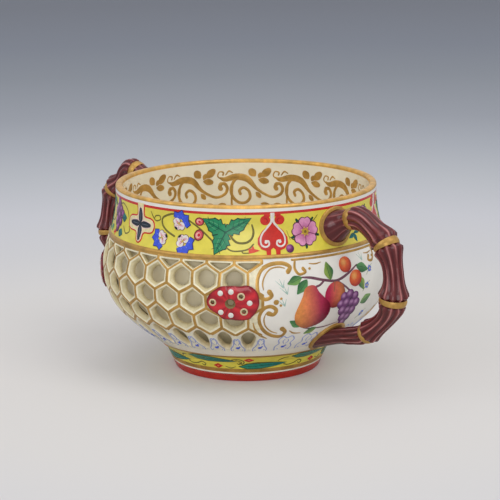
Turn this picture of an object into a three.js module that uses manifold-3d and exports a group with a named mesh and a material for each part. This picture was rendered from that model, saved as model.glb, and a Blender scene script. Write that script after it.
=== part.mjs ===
// Double-walled porcelain cup with a pierced honeycomb outer wall and two bamboo handles.
// Millimetres, +Z up, origin at the centre of the flat foot that it stands on.
// The handles lie along X, and the two pierced panels face -Y and +Y.
import * as THREE from "three";
import Module from "manifold-3d";
import { mergeVertices } from "three/addons/utils/BufferGeometryUtils.js";

const wasm = await Module();
wasm.setup();

// Open seam between two pieces that are luted together
const seam = 0.3;

// Outside of the cup
const cupHeight = 66.4;
const rimRadius = 46.1;
const collarStraight = 4.4; // upright band below the rim
const bellyRadius = 51.2;
const bellyHeight = 37;
const bellyPull = 15.7; // how far the belly stays full below its widest height
const shoulderPull = 9.2; // how far it stays full above its widest height
const collarPull = 11.3; // how far the collar stays upright below its straight band
const coveDepth = 8.1; // how far the hollow over the foot runs out at 45 degrees
const footRadius = 25.9; // at the table
const footHeight = 7.6;
const footFlare = 3.1; // how much wider the foot is at its top
const footRingHeight = 2.7;
const footRingWidth = 3.6;
const footRingEdge = 0.4;

// Walls
const outerWall = 2;
const linerWall = 2;
const collarWall = 2.4;
const wallSpace = 3.5; // free space between the two walls at the belly
const seatSpace = 0.96; // free space between them where the collar sits on the outer wall
const floorWall = 2.4;
const footRecess = 5; // height of the outer wall's floor over the table
const linerFootHeight = 2.8;
const linerFootInset = 5.9; // from the outside of the cup's foot
const linerFootWidth = 2.5;
const linerFootFillet = 0.3;
const linerCurveDown = 12;
const linerCurveOut = 6;
const lipRound = 0.8;

// Collar, with a raised fillet where it sits on the outer wall
const collarHeight = 17.4;
const beadHeight = 1.1;
const beadProud = 0.4;

// Honeycomb, in degrees round the cup and millimetres of height
const cellAngle = 10.8;
const cellWeb = 4.6; // upright side of a cell
const cellSlant = 2.95; // rise of a cell's slanting side
const firstRowDrop = 6.75; // from the collar to the centre of the uppermost row of whole cells
const barWidth = 1.4; // bar left between two cells at the face
const cellInnerShare = 0.78; // a cell's size at the back of the wall
const edgeBand = 0.5; // uncut edge of the wall under the collar
const sideCells = 4; // whole cells on each side of the middle one in a wide row
const rosetteCells = 2; // cells that each rosette takes the place of
const archFootWidth = 3.2;
const archRise = 7.5; // from the top of the foot to the bottom of the arches

// Applied rosettes
const rosetteDrop = 0.25; // below the centre of the row of cells that they interrupt
const rosetteShift = 1.3; // degrees from the middle of the two cells towards the middle of the panel
const rosetteThickness = 1.3;
const rosetteBevel = 0.35;
const rosetteTip = 8; // reach towards the middle of the panel
const rosetteBack = 9.5; // reach away from it
const rosetteHalfHeight = 6;
const rosetteEyeRadius = 1.6;
const rosetteHoleRadius = 1;

// Places on a rosette, from its eye, as shares of its reach that way and of its half height
const rosetteSide = [
  [-0.58, 0.75],
  [0.03, 0.96],
  [0.59, 1],
];
const rosetteHoles = [
  [0.4, 0.42],
  [0.47, -0.44],
  [-0.72, 0.04],
];

// Root pads of the handles
const upperPadDrop = 9.2; // below the rim
const upperPadHalfWidth = 8;
const upperPadHalfHeight = 6.5;
const lowerPadRise = 10; // above the top of the foot
const lowerPadHalfWidth = 5.8;
const lowerPadHalfHeight = 5.4;
const padThickness = 1.5;
const padEdgeShare = 0.86; // size of a root pad's outer face against its foot

// Route of a handle from its upper to its lower root, in the upright plane through it:
// how far each point stands out from, and above, the straight line between the two roots
const rootDepth = 2.4; // how far the route starts inside the skin
const handleRoute = [
  [0, 0],
  [7, 6.8],
  [14.3, 11.5],
  [20.3, 12.6],
  [26.9, 12],
  [30.4, 7.5],
  [31.3, 0],
  [25.5, -4.3],
  [18.2, -5.6],
  [11.2, -3.3],
  [0, -2.4],
];
const handleRings = [1, 4, 6, 8]; // places on the route that hold a gilt ring
const ringRadii = [3.9, 4.6, 4.6, 3.3];
const flareRadii = [4.4, 5.3, 5, 4.2]; // swollen ends on both sides of each ring
const waistRadii = [3.7, 4, 3.6, 3.2, 2.6]; // thinnest place of each length of bamboo
const ringLength = 0.8;
const ringGroove = 0.4; // slope between a ring and the swollen end next to it
const flareSharpness = 3; // how suddenly a length of bamboo swells towards its ends
const handleFlutes = 10;
const fluteDepth = 0.3;

// How the left handle differs from the right one, as set by hand
const leftHandleTurn = 4.8; // how far it stands past the point opposite the right one
const leftHandleLift = 3; // how much higher its middle is

// How finely round shapes are divided
const roundSegments = 40;
const curveRows = 4;
const padSegments = 20;
const rosettePoints = 24;
const holeSegments = 8;
const skinSamples = 240;
const rowsPerLength = 4;
const beadRows = 4;
const lipSteps = 2;
const stepsPerPoint = 40;

// Outer skin of the cup, from the table up to the rim
const collarFoot = cupHeight - collarStraight;
const seatHeight = cupHeight - collarHeight;
const footJoint = footRingHeight + seam;
const footTopRadius = footRadius + footFlare;
const ringTopRadius = footRadius + (footFlare * footRingHeight) / footHeight;
const footLine = new THREE.LineCurve(
  new THREE.Vector2(footRadius, 0),
  new THREE.Vector2(footTopRadius, footHeight),
);
const bellyCurve = new THREE.CubicBezierCurve(
  new THREE.Vector2(footTopRadius, footHeight),
  new THREE.Vector2(footTopRadius + coveDepth, footHeight + coveDepth),
  new THREE.Vector2(bellyRadius, bellyHeight - bellyPull),
  new THREE.Vector2(bellyRadius, bellyHeight),
);
const collarCurve = new THREE.CubicBezierCurve(
  new THREE.Vector2(bellyRadius, bellyHeight),
  new THREE.Vector2(bellyRadius, bellyHeight + shoulderPull),
  new THREE.Vector2(rimRadius, collarFoot - collarPull),
  new THREE.Vector2(rimRadius, collarFoot),
);
const rimLine = new THREE.LineCurve(
  new THREE.Vector2(rimRadius, collarFoot),
  new THREE.Vector2(rimRadius, cupHeight),
);
const skinCurve = new THREE.CurvePath();
for (const piece of [footLine, bellyCurve, collarCurve, rimLine]) skinCurve.add(piece);
const skin = skinCurve.getSpacedPoints(skinSamples);

// Point of the outer skin at a height, with the direction that points out of the wall.
function skinAt(height) {
  const above = skin.findIndex((point) => point.y > height);
  const index = above < 0 ? skin.length - 1 : Math.max(above, 1);
  const low = skin[index - 1];
  const high = skin[index];
  const share = (height - low.y) / (high.y - low.y);
  const along = high.clone().sub(low).normalize();
  return {
    point: low.clone().lerp(high, share),
    outward: new THREE.Vector2(along.y, -along.x),
  };
}

// Skin at a height, moved out of the wall by a distance.
function skinOffset(height, distance) {
  const { point, outward } = skinAt(height);
  return point.addScaledVector(outward, distance);
}

// Heights that divide a stretch of the skin, closer together where it bends.
function skinHeights(low, high) {
  const breaks = [footHeight, bellyHeight, seatHeight, seatHeight + beadHeight, collarFoot];
  const inner = [bellyCurve, collarCurve].flatMap((curve) => curve.getPoints(curveRows).map((p) => p.y));
  const clear = (height) => height > low + seam && height < high - seam;
  const heights = [...breaks, ...inner].filter(clear).sort((a, b) => a - b);
  const spaced = heights.filter((height, index) => index === 0 || height - heights[index - 1] > seam);
  return [low, ...spaced, high];
}

// Manifold solid from a closed three.js geometry.
function solidOf(geometry) {
  const bare = geometry.clone();
  bare.deleteAttribute("normal");
  bare.deleteAttribute("uv");
  const merged = mergeVertices(bare, 1e-4);
  const triVerts = new Uint32Array(merged.index.array);
  const vertProperties = merged.attributes.position.array;
  return new wasm.Manifold(new wasm.Mesh({ numProp: 3, vertProperties, triVerts }));
}

// three.js geometry from a manifold solid.
function geometryOf(solid) {
  const { vertProperties, triVerts } = solid.getMesh();
  const geometry = new THREE.BufferGeometry();
  geometry.setAttribute("position", new THREE.BufferAttribute(vertProperties, 3));
  geometry.setIndex(new THREE.BufferAttribute(triVerts, 1));
  geometry.computeVertexNormals();
  return geometry;
}

// Solid of revolution round Z from a closed outline of [radius, height].
function turned(outline) {
  const points = outline.map(([radius, height]) => new THREE.Vector2(radius, height));
  const startsOnAxis = points[0].x === 0;
  if (!startsOnAxis) points.push(points[0].clone());
  return new THREE.LatheGeometry(points, roundSegments).rotateX(Math.PI / 2);
}

// Lays a geometry on the cup: x is degrees round it, y is height and z stands off the skin.
function layOnSkin(geometry, turn, height) {
  const positions = geometry.getAttribute("position");
  for (let i = 0; i < positions.count; i++) {
    const spot = skinOffset(height + positions.getY(i), positions.getZ(i));
    const angle = THREE.MathUtils.degToRad(turn + positions.getX(i));
    positions.setXYZ(i, spot.x * Math.sin(angle), -spot.x * Math.cos(angle), spot.y);
  }
  return geometry;
}

// Space of the whole cup with its seam, which the applied pieces are cut clear of.
const clearSkin = skinHeights(footJoint, cupHeight).map((height) => {
  const onBead = height >= seatHeight && height <= seatHeight + beadHeight;
  return skinOffset(height, onBead ? beadProud + seam : seam).toArray();
});
const cupSpace = solidOf(turned([[0, footJoint], ...clearSkin, [0, cupHeight]]));

// Degrees round the cup that a length covers at a height.
function degreesAt(height, length) {
  return THREE.MathUtils.radToDeg(length / skinAt(height).point.x);
}

// Cutter that goes through the outer wall and narrows towards its back.
function wallCutter(outline, turn, height, innerShare) {
  const over = outerWall / 2;
  const shape = new THREE.Shape(outline);
  const cutter = new THREE.ExtrudeGeometry(shape, { depth: outerWall + 2 * over, bevelEnabled: false });
  cutter.translate(0, 0, -outerWall - over);
  const positions = cutter.getAttribute("position");
  for (let i = 0; i < positions.count; i++) {
    const depth = -positions.getZ(i) / outerWall;
    const size = 1 - depth * (1 - innerShare);
    positions.setXY(i, positions.getX(i) * size, positions.getY(i) * size);
  }
  return solidOf(layOnSkin(cutter, turn, height));
}

// Cell outline round its own centre, drawn in by half a bar on every side.
function cellOutline(height) {
  const share = 1 - barWidth / THREE.MathUtils.degToRad(cellAngle) / skinAt(height).point.x;
  const side = (cellAngle / 2) * share;
  const web = (cellWeb / 2) * share;
  const peak = web + cellSlant * share;
  return [
    new THREE.Vector2(-side, -web),
    new THREE.Vector2(0, -peak),
    new THREE.Vector2(side, -web),
    new THREE.Vector2(side, web),
    new THREE.Vector2(0, peak),
    new THREE.Vector2(-side, web),
  ];
}

// Part of an outline that lies below a height.
function cutBelow(outline, top) {
  return outline.flatMap((point, index) => {
    const next = outline[(index + 1) % outline.length];
    const kept = point.y <= top ? [point] : [];
    const crosses = (point.y - top) * (next.y - top) < 0;
    const share = (top - point.y) / (next.y - point.y);
    return crosses ? [...kept, point.clone().lerp(next, share)] : kept;
  });
}

// Pointed arch below the honeycomb, round the centre of its row.
function archOutline(height) {
  const share = 1 - barWidth / THREE.MathUtils.degToRad(cellAngle) / skinAt(height).point.x;
  const side = (cellAngle / 2) * share;
  const web = (cellWeb / 2) * share;
  const foot = degreesAt(footHeight + archRise, archFootWidth) / 2;
  const drop = footHeight + archRise - height;
  return [
    new THREE.Vector2(-foot, drop),
    new THREE.Vector2(foot, drop),
    new THREE.Vector2(side, web),
    new THREE.Vector2(0, web + cellSlant * share),
    new THREE.Vector2(-side, web),
  ];
}

// Rows of the panel: half cells under the collar, three rows of whole cells, then the arches.
const narrowRow = 2; // the row that the rosettes interrupt
const archRow = 4;
const rowHeight = (row) => seatHeight - firstRowDrop - (row - 1) * (cellWeb + cellSlant);

// Places of a row's cells, in pitches from the middle of the panel.
function rowSteps(row) {
  const shifted = row % 2 === 0 ? 0.5 : 0;
  const side = sideCells - (row === narrowRow ? rosetteCells : 0) + shifted;
  return Array.from({ length: 2 * side + 1 }, (_, cell) => cell - side);
}

// Cutters for one pierced panel, whose middle is at the given turn.
function panelCutters(turn) {
  const cutters = [];
  for (let row = 0; row <= archRow; row++) {
    const height = rowHeight(row);
    const top = seatHeight - seam - edgeBand - height;
    const whole = row === archRow ? archOutline(height) : cellOutline(height);
    const outline = cutBelow(whole, top);
    if (outline.length < 3) continue;
    const middle = new THREE.Box2().setFromPoints(outline).getCenter(new THREE.Vector2());
    const centred = outline.map((point) => point.sub(middle));
    for (const step of rowSteps(row)) {
      cutters.push(wallCutter(centred, turn + step * cellAngle, height + middle.y, cellInnerShare));
    }
  }
  return cutters;
}

const backPanel = 180; // turn of the panel at the back
const rosetteTurn = sideCells * cellAngle - rosetteShift;
const rosetteHeight = rowHeight(narrowRow) - rosetteDrop;

// Place on a rosette in millimetres from its eye.
function rosettePlace([along, up]) {
  return new THREE.Vector3(along * (along < 0 ? rosetteTip : rosetteBack), up * rosetteHalfHeight, 0);
}

// Round holes of a rosette, as place and radius.
const roundHoles = [
  [rosettePlace([0, 0]), rosetteEyeRadius],
  ...rosetteHoles.map((hole) => [rosettePlace(hole), rosetteHoleRadius]),
];

// The four rosettes: name, turn round the cup, and which way the blunt end points.
const rosettes = [
  ["rosette_front_right", rosetteTurn, 1],
  ["rosette_back_right", backPanel - rosetteTurn, -1],
  ["rosette_back_left", backPanel + rosetteTurn, 1],
  ["rosette_front_left", -rosetteTurn, -1],
];

// Round outline on the skin, in degrees and millimetres.
function circle(x, y, radius, toDegrees) {
  const round = new THREE.EllipseCurve(x * toDegrees, y, radius * toDegrees, radius);
  return round.getPoints(holeSegments).slice(0, -1);
}

// Cutters that carry a rosette's holes on through the outer wall.
function rosetteCutters([, turn, way]) {
  const toDegrees = degreesAt(rosetteHeight, 1);
  return roundHoles.map(([place, radius]) => {
    const hole = circle(0, 0, radius, toDegrees);
    return wallCutter(hole, turn + way * place.x * toDegrees, rosetteHeight + place.y, 1);
  });
}

// Rosette: a lobed shield, blunt at one end, with its holes and a soft edge.
function rosetteGeometry([, turn, way]) {
  const toDegrees = degreesAt(rosetteHeight, 1);
  const upper = rosetteSide.map(rosettePlace);
  const lower = rosetteSide.map(([along, up]) => rosettePlace([along, -up])).reverse();
  const corners = [rosettePlace([-1, 0]), ...upper, rosettePlace([1, 0]), ...lower];
  const edge = new THREE.CatmullRomCurve3(corners, true).getPoints(rosettePoints).slice(0, -1);
  const shape = new THREE.Shape(edge.map((point) => new THREE.Vector2(way * point.x * toDegrees, point.y)));
  for (const [place, radius] of roundHoles) {
    shape.holes.push(new THREE.Path(circle(way * place.x, place.y, radius, toDegrees)));
  }
  const plate = new THREE.ExtrudeGeometry(shape, { depth: rosetteThickness + seam, bevelEnabled: false });
  const positions = plate.getAttribute("position");
  const shrink = 1 - rosetteBevel / rosetteHalfHeight;
  for (let i = 0; i < positions.count; i++) {
    const size = positions.getZ(i) > 0 ? shrink : 1;
    positions.setXY(i, positions.getX(i) * size, positions.getY(i) * size);
  }
  return geometryOf(solidOf(layOnSkin(plate, turn, rosetteHeight)).subtract(cupSpace));
}

// Inner cup: the liner with the collar, the rim and the flange that sits on the outer wall.
function innerCupGeometry() {
  const insideRadius = rimRadius - collarWall;
  const linerRadius = bellyRadius - outerWall - wallSpace;
  const linerSeatRadius = skinOffset(seatHeight, -outerWall).x - seatSpace;
  const linerFoot = footRecess + floorWall + seam;
  const linerFloor = linerFoot + linerFootHeight;
  const linerFootRadius = footRadius - linerFootInset;
  const bowl = (radius, floor, out) =>
    new THREE.CubicBezierCurve(
      new THREE.Vector2(radius, bellyHeight),
      new THREE.Vector2(radius, bellyHeight - linerCurveDown),
      new THREE.Vector2(linerFootRadius + linerCurveOut + out, floor),
      new THREE.Vector2(linerFootRadius + out, floor),
    ).getPoints(curveRows);
  const outside = bowl(linerRadius, linerFloor, linerFootFillet).reverse();
  const inside = bowl(linerRadius - linerWall, linerFloor + floorWall, -linerWall / 2);
  const collarHeights = skinHeights(seatHeight + beadHeight, cupHeight - lipRound);
  const collar = collarHeights.map((height) => skinOffset(height, 0).toArray());
  const bead = Array.from({ length: beadRows }, (_, row) => {
    const share = row / beadRows;
    return skinOffset(seatHeight + share * beadHeight, beadProud * Math.sin(share * Math.PI)).toArray();
  });
  const lipArc = (radius, from, to) =>
    new THREE.EllipseCurve(radius, cupHeight - lipRound, lipRound, lipRound, from, to)
      .getPoints(lipSteps)
      .map((point) => point.toArray());
  return turned([
    [0, linerFloor],
    [linerFootRadius - linerFootWidth, linerFloor],
    [linerFootRadius - linerFootWidth, linerFoot],
    [linerFootRadius, linerFoot],
    ...outside.map((point) => point.toArray()),
    [linerSeatRadius, seatHeight],
    ...bead,
    ...collar.slice(0, -1),
    ...lipArc(rimRadius - lipRound, 0, Math.PI / 2),
    ...lipArc(insideRadius + lipRound, Math.PI / 2, Math.PI),
    ...inside.map((point) => point.toArray()),
    [0, linerFloor + floorWall],
  ]);
}

// Outer wall: a bowl with its own floor, pierced by the honeycomb, the arches and the rosettes' holes.
function outerWallGeometry() {
  const top = seatHeight - seam;
  const floorTop = footRecess + floorWall;
  const ringInside = ringTopRadius - footRingWidth;
  const outside = skinHeights(footJoint, top).map((z) => skinOffset(z, 0).toArray());
  const inside = skinHeights(footJoint, top)
    .map((z) => skinOffset(z, -outerWall).toArray())
    .filter(([, height]) => height > floorTop + outerWall)
    .reverse();
  const blank = turned([
    [0, footRecess],
    [ringInside, footRecess],
    [ringInside, footJoint],
    ...outside,
    ...inside,
    [footTopRadius - outerWall, floorTop],
    [0, floorTop],
  ]);
  const cutters = [...panelCutters(0), ...panelCutters(backPanel), ...rosettes.flatMap(rosetteCutters)];
  let wall = solidOf(blank);
  for (const cutter of cutters) wall = wall.subtract(cutter);
  return geometryOf(wall);
}

// Foot ring: the flat ring that the cup stands on.
function footRingGeometry() {
  const inside = ringTopRadius - footRingWidth;
  const edgeRadius = skinAt(footRingEdge).point.x;
  return turned([
    [inside, footRingHeight],
    [inside, footRingEdge],
    [inside + footRingEdge, 0],
    [footRadius - footRingEdge, 0],
    [edgeRadius, footRingEdge],
    [ringTopRadius, footRingHeight],
  ]);
}

// Outline of the bamboo along the handle, as [distance, radius, flute share], from root to root.
function bambooProfile(lengths) {
  const marks = handleRings.map((index) => lengths[index * stepsPerPoint]);
  const toFlare = ringLength / 2 + ringGroove;
  const starts = [-toFlare, ...marks];
  const ends = [...marks, lengths[lengths.length - 1] + toFlare];
  const swells = [flareRadii[0], ...flareRadii, waistRadii[waistRadii.length - 1]];
  const profile = [];
  waistRadii.forEach((waist, length) => {
    const low = starts[length] + toFlare;
    const high = ends[length] - toFlare;
    for (let row = 0; row <= rowsPerLength; row++) {
      const share = row / rowsPerLength;
      const flare = share < 0.5 ? swells[length] : swells[length + 1];
      const swell = Math.abs(2 * share - 1) ** flareSharpness;
      profile.push([low + (high - low) * share, waist + (flare - waist) * swell, 1]);
    }
    if (length === ringRadii.length) return;
    for (const side of [-ringLength / 2, ringLength / 2]) {
      profile.push([ends[length] + side, ringRadii[length], 0]);
    }
  });
  return profile;
}

// Route of the handle's middle line, from inside the collar to inside the lower wall.
function handleCurve(lift) {
  const start = skinOffset(cupHeight - upperPadDrop, -rootDepth);
  const end = skinOffset(footHeight + lowerPadRise, -rootDepth);
  const points = handleRoute.map(([out, rise], index) => {
    const share = index / (handleRoute.length - 1);
    const base = start.clone().lerp(end, share);
    const raised = lift * Math.sqrt(Math.abs(Math.sin(share * Math.PI)));
    return new THREE.Vector3(base.x + out, 0, base.y + rise + raised);
  });
  const route = new THREE.CatmullRomCurve3(points);
  route.arcLengthDivisions = stepsPerPoint * (points.length - 1);
  return route;
}

const handleTurn = 90; // turn of the right handle round the cup

// Low oval pad that a handle's root spreads into, on the wall.
function rootPad(height, halfWidth, halfHeight) {
  const thickness = padThickness + 2 * seam;
  const pad = new THREE.CylinderGeometry(padEdgeShare, 1, thickness, padSegments, 1);
  pad.rotateX(Math.PI / 2);
  pad.scale(degreesAt(height, halfWidth), halfHeight, 1);
  pad.translate(0, 0, thickness / 2 - seam);
  return solidOf(layOnSkin(pad, handleTurn, height));
}

// Handle on the +X side: a fluted bamboo stem bent along its route, joined to its two root pads.
function handleGeometry(lift) {
  const route = handleCurve(lift);
  const total = route.getLength();
  const profile = bambooProfile(route.getLengths());
  const points = profile.map(([distance, radius]) => new THREE.Vector2(radius, distance));
  const outline = [new THREE.Vector2(0, 0), ...points, new THREE.Vector2(0, total)];
  const fluted = [0, ...profile.map(([, , share]) => share), 0];
  const stem = new THREE.LatheGeometry(outline, 2 * handleFlutes);
  const positions = stem.getAttribute("position");
  const across = new THREE.Vector3(0, 1, 0);
  for (let i = 0; i < positions.count; i++) {
    const row = i % outline.length;
    const column = Math.floor(i / outline.length);
    const sunk = column % 2 === 1 ? fluteDepth * fluted[row] : 0;
    const radius = Math.hypot(positions.getX(i), positions.getZ(i));
    const size = radius > 0 ? (radius - sunk) / radius : 1;
    const spot = THREE.MathUtils.clamp(positions.getY(i) / total, 0, 1);
    const along = route.getTangentAt(spot);
    const side = new THREE.Vector3().crossVectors(along, across);
    const point = route.getPointAt(spot);
    point.addScaledVector(side, positions.getX(i) * size);
    point.addScaledVector(across, positions.getZ(i) * size);
    positions.setXYZ(i, point.x, point.y, point.z);
  }
  const upper = rootPad(cupHeight - upperPadDrop, upperPadHalfWidth, upperPadHalfHeight);
  const lower = rootPad(footHeight + lowerPadRise, lowerPadHalfWidth, lowerPadHalfHeight);
  return geometryOf(solidOf(stem).add(upper).add(lower).subtract(cupSpace));
}

// Finishes
const cream = new THREE.MeshStandardMaterial({ color: 0xdcddd8, roughness: 0.25 });
const ivory = new THREE.MeshStandardMaterial({ color: 0xd8d0b0, roughness: 0.35 });
const red = new THREE.MeshStandardMaterial({ color: 0xa5261c, roughness: 0.3 });
const crimson = new THREE.MeshStandardMaterial({ color: 0xbe2d32, roughness: 0.3 });
const maroon = new THREE.MeshStandardMaterial({ color: 0x5a2e2e, roughness: 0.3 });

function piece(name, geometry, material) {
  const mesh = new THREE.Mesh(geometry, material);
  mesh.name = name;
  return mesh;
}

const group = new THREE.Group();
group.add(piece("inner_cup", innerCupGeometry(), cream));
group.add(piece("pierced_outer_wall", outerWallGeometry(), ivory));
group.add(piece("foot_ring", footRingGeometry(), red));
for (const rosette of rosettes) group.add(piece(rosette[0], rosetteGeometry(rosette), crimson));

const rightHandle = piece("handle_right", handleGeometry(0), maroon);
const leftHandle = piece("handle_left", handleGeometry(leftHandleLift), maroon);
leftHandle.rotation.z = Math.PI + THREE.MathUtils.degToRad(leftHandleTurn);
group.add(rightHandle, leftHandle);

export default group;
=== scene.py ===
"""Finish of the double-walled porcelain cup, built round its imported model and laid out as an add-on."""
import math

import bmesh
import bpy
import numpy as np
from bpy.props import FloatProperty, FloatVectorProperty, IntProperty, PointerProperty
from mathutils import Matrix, Vector
from mathutils.geometry import interpolate_bezier


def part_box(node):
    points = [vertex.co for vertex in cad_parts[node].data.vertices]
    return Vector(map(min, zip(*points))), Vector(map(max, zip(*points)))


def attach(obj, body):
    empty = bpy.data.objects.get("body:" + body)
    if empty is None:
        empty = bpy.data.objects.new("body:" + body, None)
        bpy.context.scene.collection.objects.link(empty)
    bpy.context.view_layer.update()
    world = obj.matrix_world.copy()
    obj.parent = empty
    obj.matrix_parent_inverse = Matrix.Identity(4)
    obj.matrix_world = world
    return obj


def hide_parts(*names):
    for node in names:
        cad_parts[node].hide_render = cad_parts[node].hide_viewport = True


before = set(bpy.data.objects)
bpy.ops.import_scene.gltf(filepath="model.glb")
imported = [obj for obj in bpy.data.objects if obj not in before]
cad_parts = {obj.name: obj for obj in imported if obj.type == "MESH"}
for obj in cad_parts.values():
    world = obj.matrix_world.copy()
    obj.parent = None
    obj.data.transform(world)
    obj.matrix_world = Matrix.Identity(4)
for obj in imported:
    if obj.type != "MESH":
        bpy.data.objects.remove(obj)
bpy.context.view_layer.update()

bl_info = {
    "name": "Pierced Porcelain Cup",
    "version": (1, 0, 0),
    "blender": (4, 5, 0),
    "location": "View3D > Sidebar > Cup",
    "description": "Builds the glazed, pierced and painted pieces of a double-walled porcelain cup",
    "category": "Object",
}

MM = 0.001
BODY = "root"
CUP_LOW, CUP_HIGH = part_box("inner_cup")
WALL_LOW, WALL_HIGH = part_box("pierced_outer_wall")
RING_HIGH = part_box("foot_ring")[1]


def linear(shown):
    """Light values of a colour that is written as the screen shows it, from 0 to 255."""
    shares = [value / 255 for value in shown]
    return tuple(value / 12.92 if value < 0.04045 else ((value + 0.055) / 1.055) ** 2.4 for value in shares)


def length(name, default, text):
    """Property that holds a length, from its default in millimetres."""
    return FloatProperty(name=name, description=text, default=default * MM, min=0, unit="LENGTH", precision=5)


def degrees(name, default, text):
    """Property that holds an angle, from its default in degrees."""
    return FloatProperty(name=name, description=text, default=math.radians(default), unit="ROTATION")


def count(name, default, text):
    """Property that holds a number of equal parts."""
    return IntProperty(name=name, description=text, default=default, min=1)


def colour(name, shown, text):
    """Property that holds a colour, from its default as the screen shows it."""
    shade = linear(shown)
    return FloatVectorProperty(name=name, description=text, default=shade, subtype="COLOR", min=0, max=1)


class CupSizes(bpy.types.PropertyGroup):
    """Driving sizes of the turned walls and of the handles"""

    height: length("Height", CUP_HIGH.z / MM, "From the table to the rim")
    rim_radius: length("Rim radius", 46.1, "Outside of the upright collar")
    collar_straight: length("Upright collar", 4.4, "Height of the upright band below the rim")
    belly_radius: length("Belly radius", WALL_HIGH.y / MM, "Widest radius of the outer wall")
    belly_height: length("Belly height", 37, "Height of the widest place")
    belly_pull: length("Belly pull", 15.7, "How far the belly stays full below its widest height")
    shoulder_pull: length("Shoulder pull", 9.2, "How far it stays full above its widest height")
    collar_pull: length("Collar pull", 11.3, "How far the collar stays upright below its straight band")
    cove: length("Cove", 8.1, "How far the hollow over the foot runs out at 45 degrees")
    foot_radius: length("Foot radius", 25.9, "Outside of the foot at the table")
    foot_height: length("Foot height", 7.6, "Height of the foot")
    foot_flare: length("Foot flare", 3.1, "How much wider the foot is at its top")
    ring_height: length("Ring height", RING_HIGH.z / MM, "Height of the red foot ring")
    ring_width: length("Ring width", 3.6, "Width of the red foot ring")
    outer_wall: length("Outer wall", 2, "Thickness of the pierced wall")
    liner_wall: length("Liner wall", 2, "Thickness of the inner bowl")
    collar_wall: length("Collar wall", 2.4, "Thickness of the wall at the rim")
    wall_space: length("Wall space", 3.5, "Free space between the two walls")
    floor_wall: length("Floor", 2.4, "Thickness of both floors")
    foot_recess: length("Foot recess", WALL_LOW.z / MM + 2, "Height of the outer floor over the table")
    liner_floor: length("Liner floor", CUP_LOW.z / MM + 2.8, "Height of the liner's underside")
    liner_foot: length("Liner foot", 20, "Outside radius of the liner's foot")
    seat_height: length("Seat height", 49, "Where the collar sits on the pierced wall")
    bead_height: length("Fillet height", 1.1, "Height of the gilt fillet under the collar")
    bead_lap: length("Fillet lap", 0.2, "How far the fillet laps over the pierced wall")
    bead_proud: length("Fillet relief", 0.35, "How far the gilt fillet stands out")
    lip: length("Lip rounding", 0.8, "Radius of the rounded lip")
    flute_depth: length("Flute depth", 0.5, "Depth of the grooves along the bamboo")
    left_turn: degrees("Left handle", 4.8, "How far the left handle stands past the right one's opposite")
    turn_steps: count("Steps", 224, "Steps round a turned piece")


class HoneycombSizes(bpy.types.PropertyGroup):
    """Driving sizes of the pierced honeycomb and its rosettes"""

    pitch: degrees("Cell pitch", 10.8, "Turn from one cell to the next")
    web: length("Cell side", 4.6, "Upright side of a cell")
    slant: length("Cell slant", 2.95, "Rise of a cell's slanting side")
    first_drop: length("First row", 6.75, "From the collar to the centre of the first row of whole cells")
    bar: length("Bar", 1.02, "Width of a gilt bar")
    bar_crown: length("Bar crown", 0.13, "How far the middle of a bar stands out")
    lip: length("Cell lip", 0.5, "Width of the bright lip inside the bars")
    opening: length("Opening", 3, "Radius of the round opening at the back of a cell")
    top_bar: length("Top bar", 0.8, "Width of the gilt bar under the collar")
    foot_line: length("Foot line", 13.6, "Height of the lower edge of the pierced panel")
    side_cells: count("Side cells", 4, "Whole cells beside the middle one")
    side_points: count("Side points", 4, "Divisions of each side of a cell")
    wobble: length("Wobble", 0.16, "How far hand cutting leads the bars astray")
    rosette_drop: length("Rosette drop", 0.25, "Rosettes below the centre of the row that they interrupt")
    rosette_shift: degrees("Rosette shift", 1.3, "Rosettes nearer to the panel's middle than their cells")
    rosette_thickness: length("Rosette thickness", 0.95, "How far a rosette stands out")


class Finishes(bpy.types.PropertyGroup):
    """Colours of the glazes, enamels and gilding"""

    white: colour("White glaze", (236, 232, 222), "Clear glaze over white porcelain")
    warm: colour("Warm glaze", (246, 240, 220), "Clear glaze of the lower bowl")
    liner: colour("Liner glaze", (230, 219, 186), "Glaze of the bowl behind the openings")
    cream: colour("Cream glaze", (236, 227, 203), "Glaze inside the bowl")
    gilding: colour("Gilding", (194, 150, 76), "Burnished gold")
    yellow: colour("Yellow enamel", (226, 211, 78), "Ground of the collar and of the foot band")
    red: colour("Red enamel", (186, 42, 30), "Foot ring")
    line_red: colour("Line red", (200, 46, 36), "Red line under the rim")
    crimson: colour("Crimson enamel", (208, 46, 54), "Rosettes")
    maroon: colour("Maroon enamel", (106, 41, 41), "Bamboo handles")
    # Pale ridges: thin glaze with a painted highlight on it
    maroon_ridge_highlight: colour("Light maroon", (204, 134, 130), "Pale ridges of the bamboo")


def cup():
    return bpy.context.scene.cup_sizes


def comb():
    return bpy.context.scene.cup_honeycomb


def finishes():
    return bpy.context.scene.cup_finishes


# Surfaces that pieces are laid on

def bezier(knots, steps):
    """Points of a curve from the first knot to the last one."""
    return [tuple(point) for point in interpolate_bezier(*[Vector(knot) for knot in knots], steps)]


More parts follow.
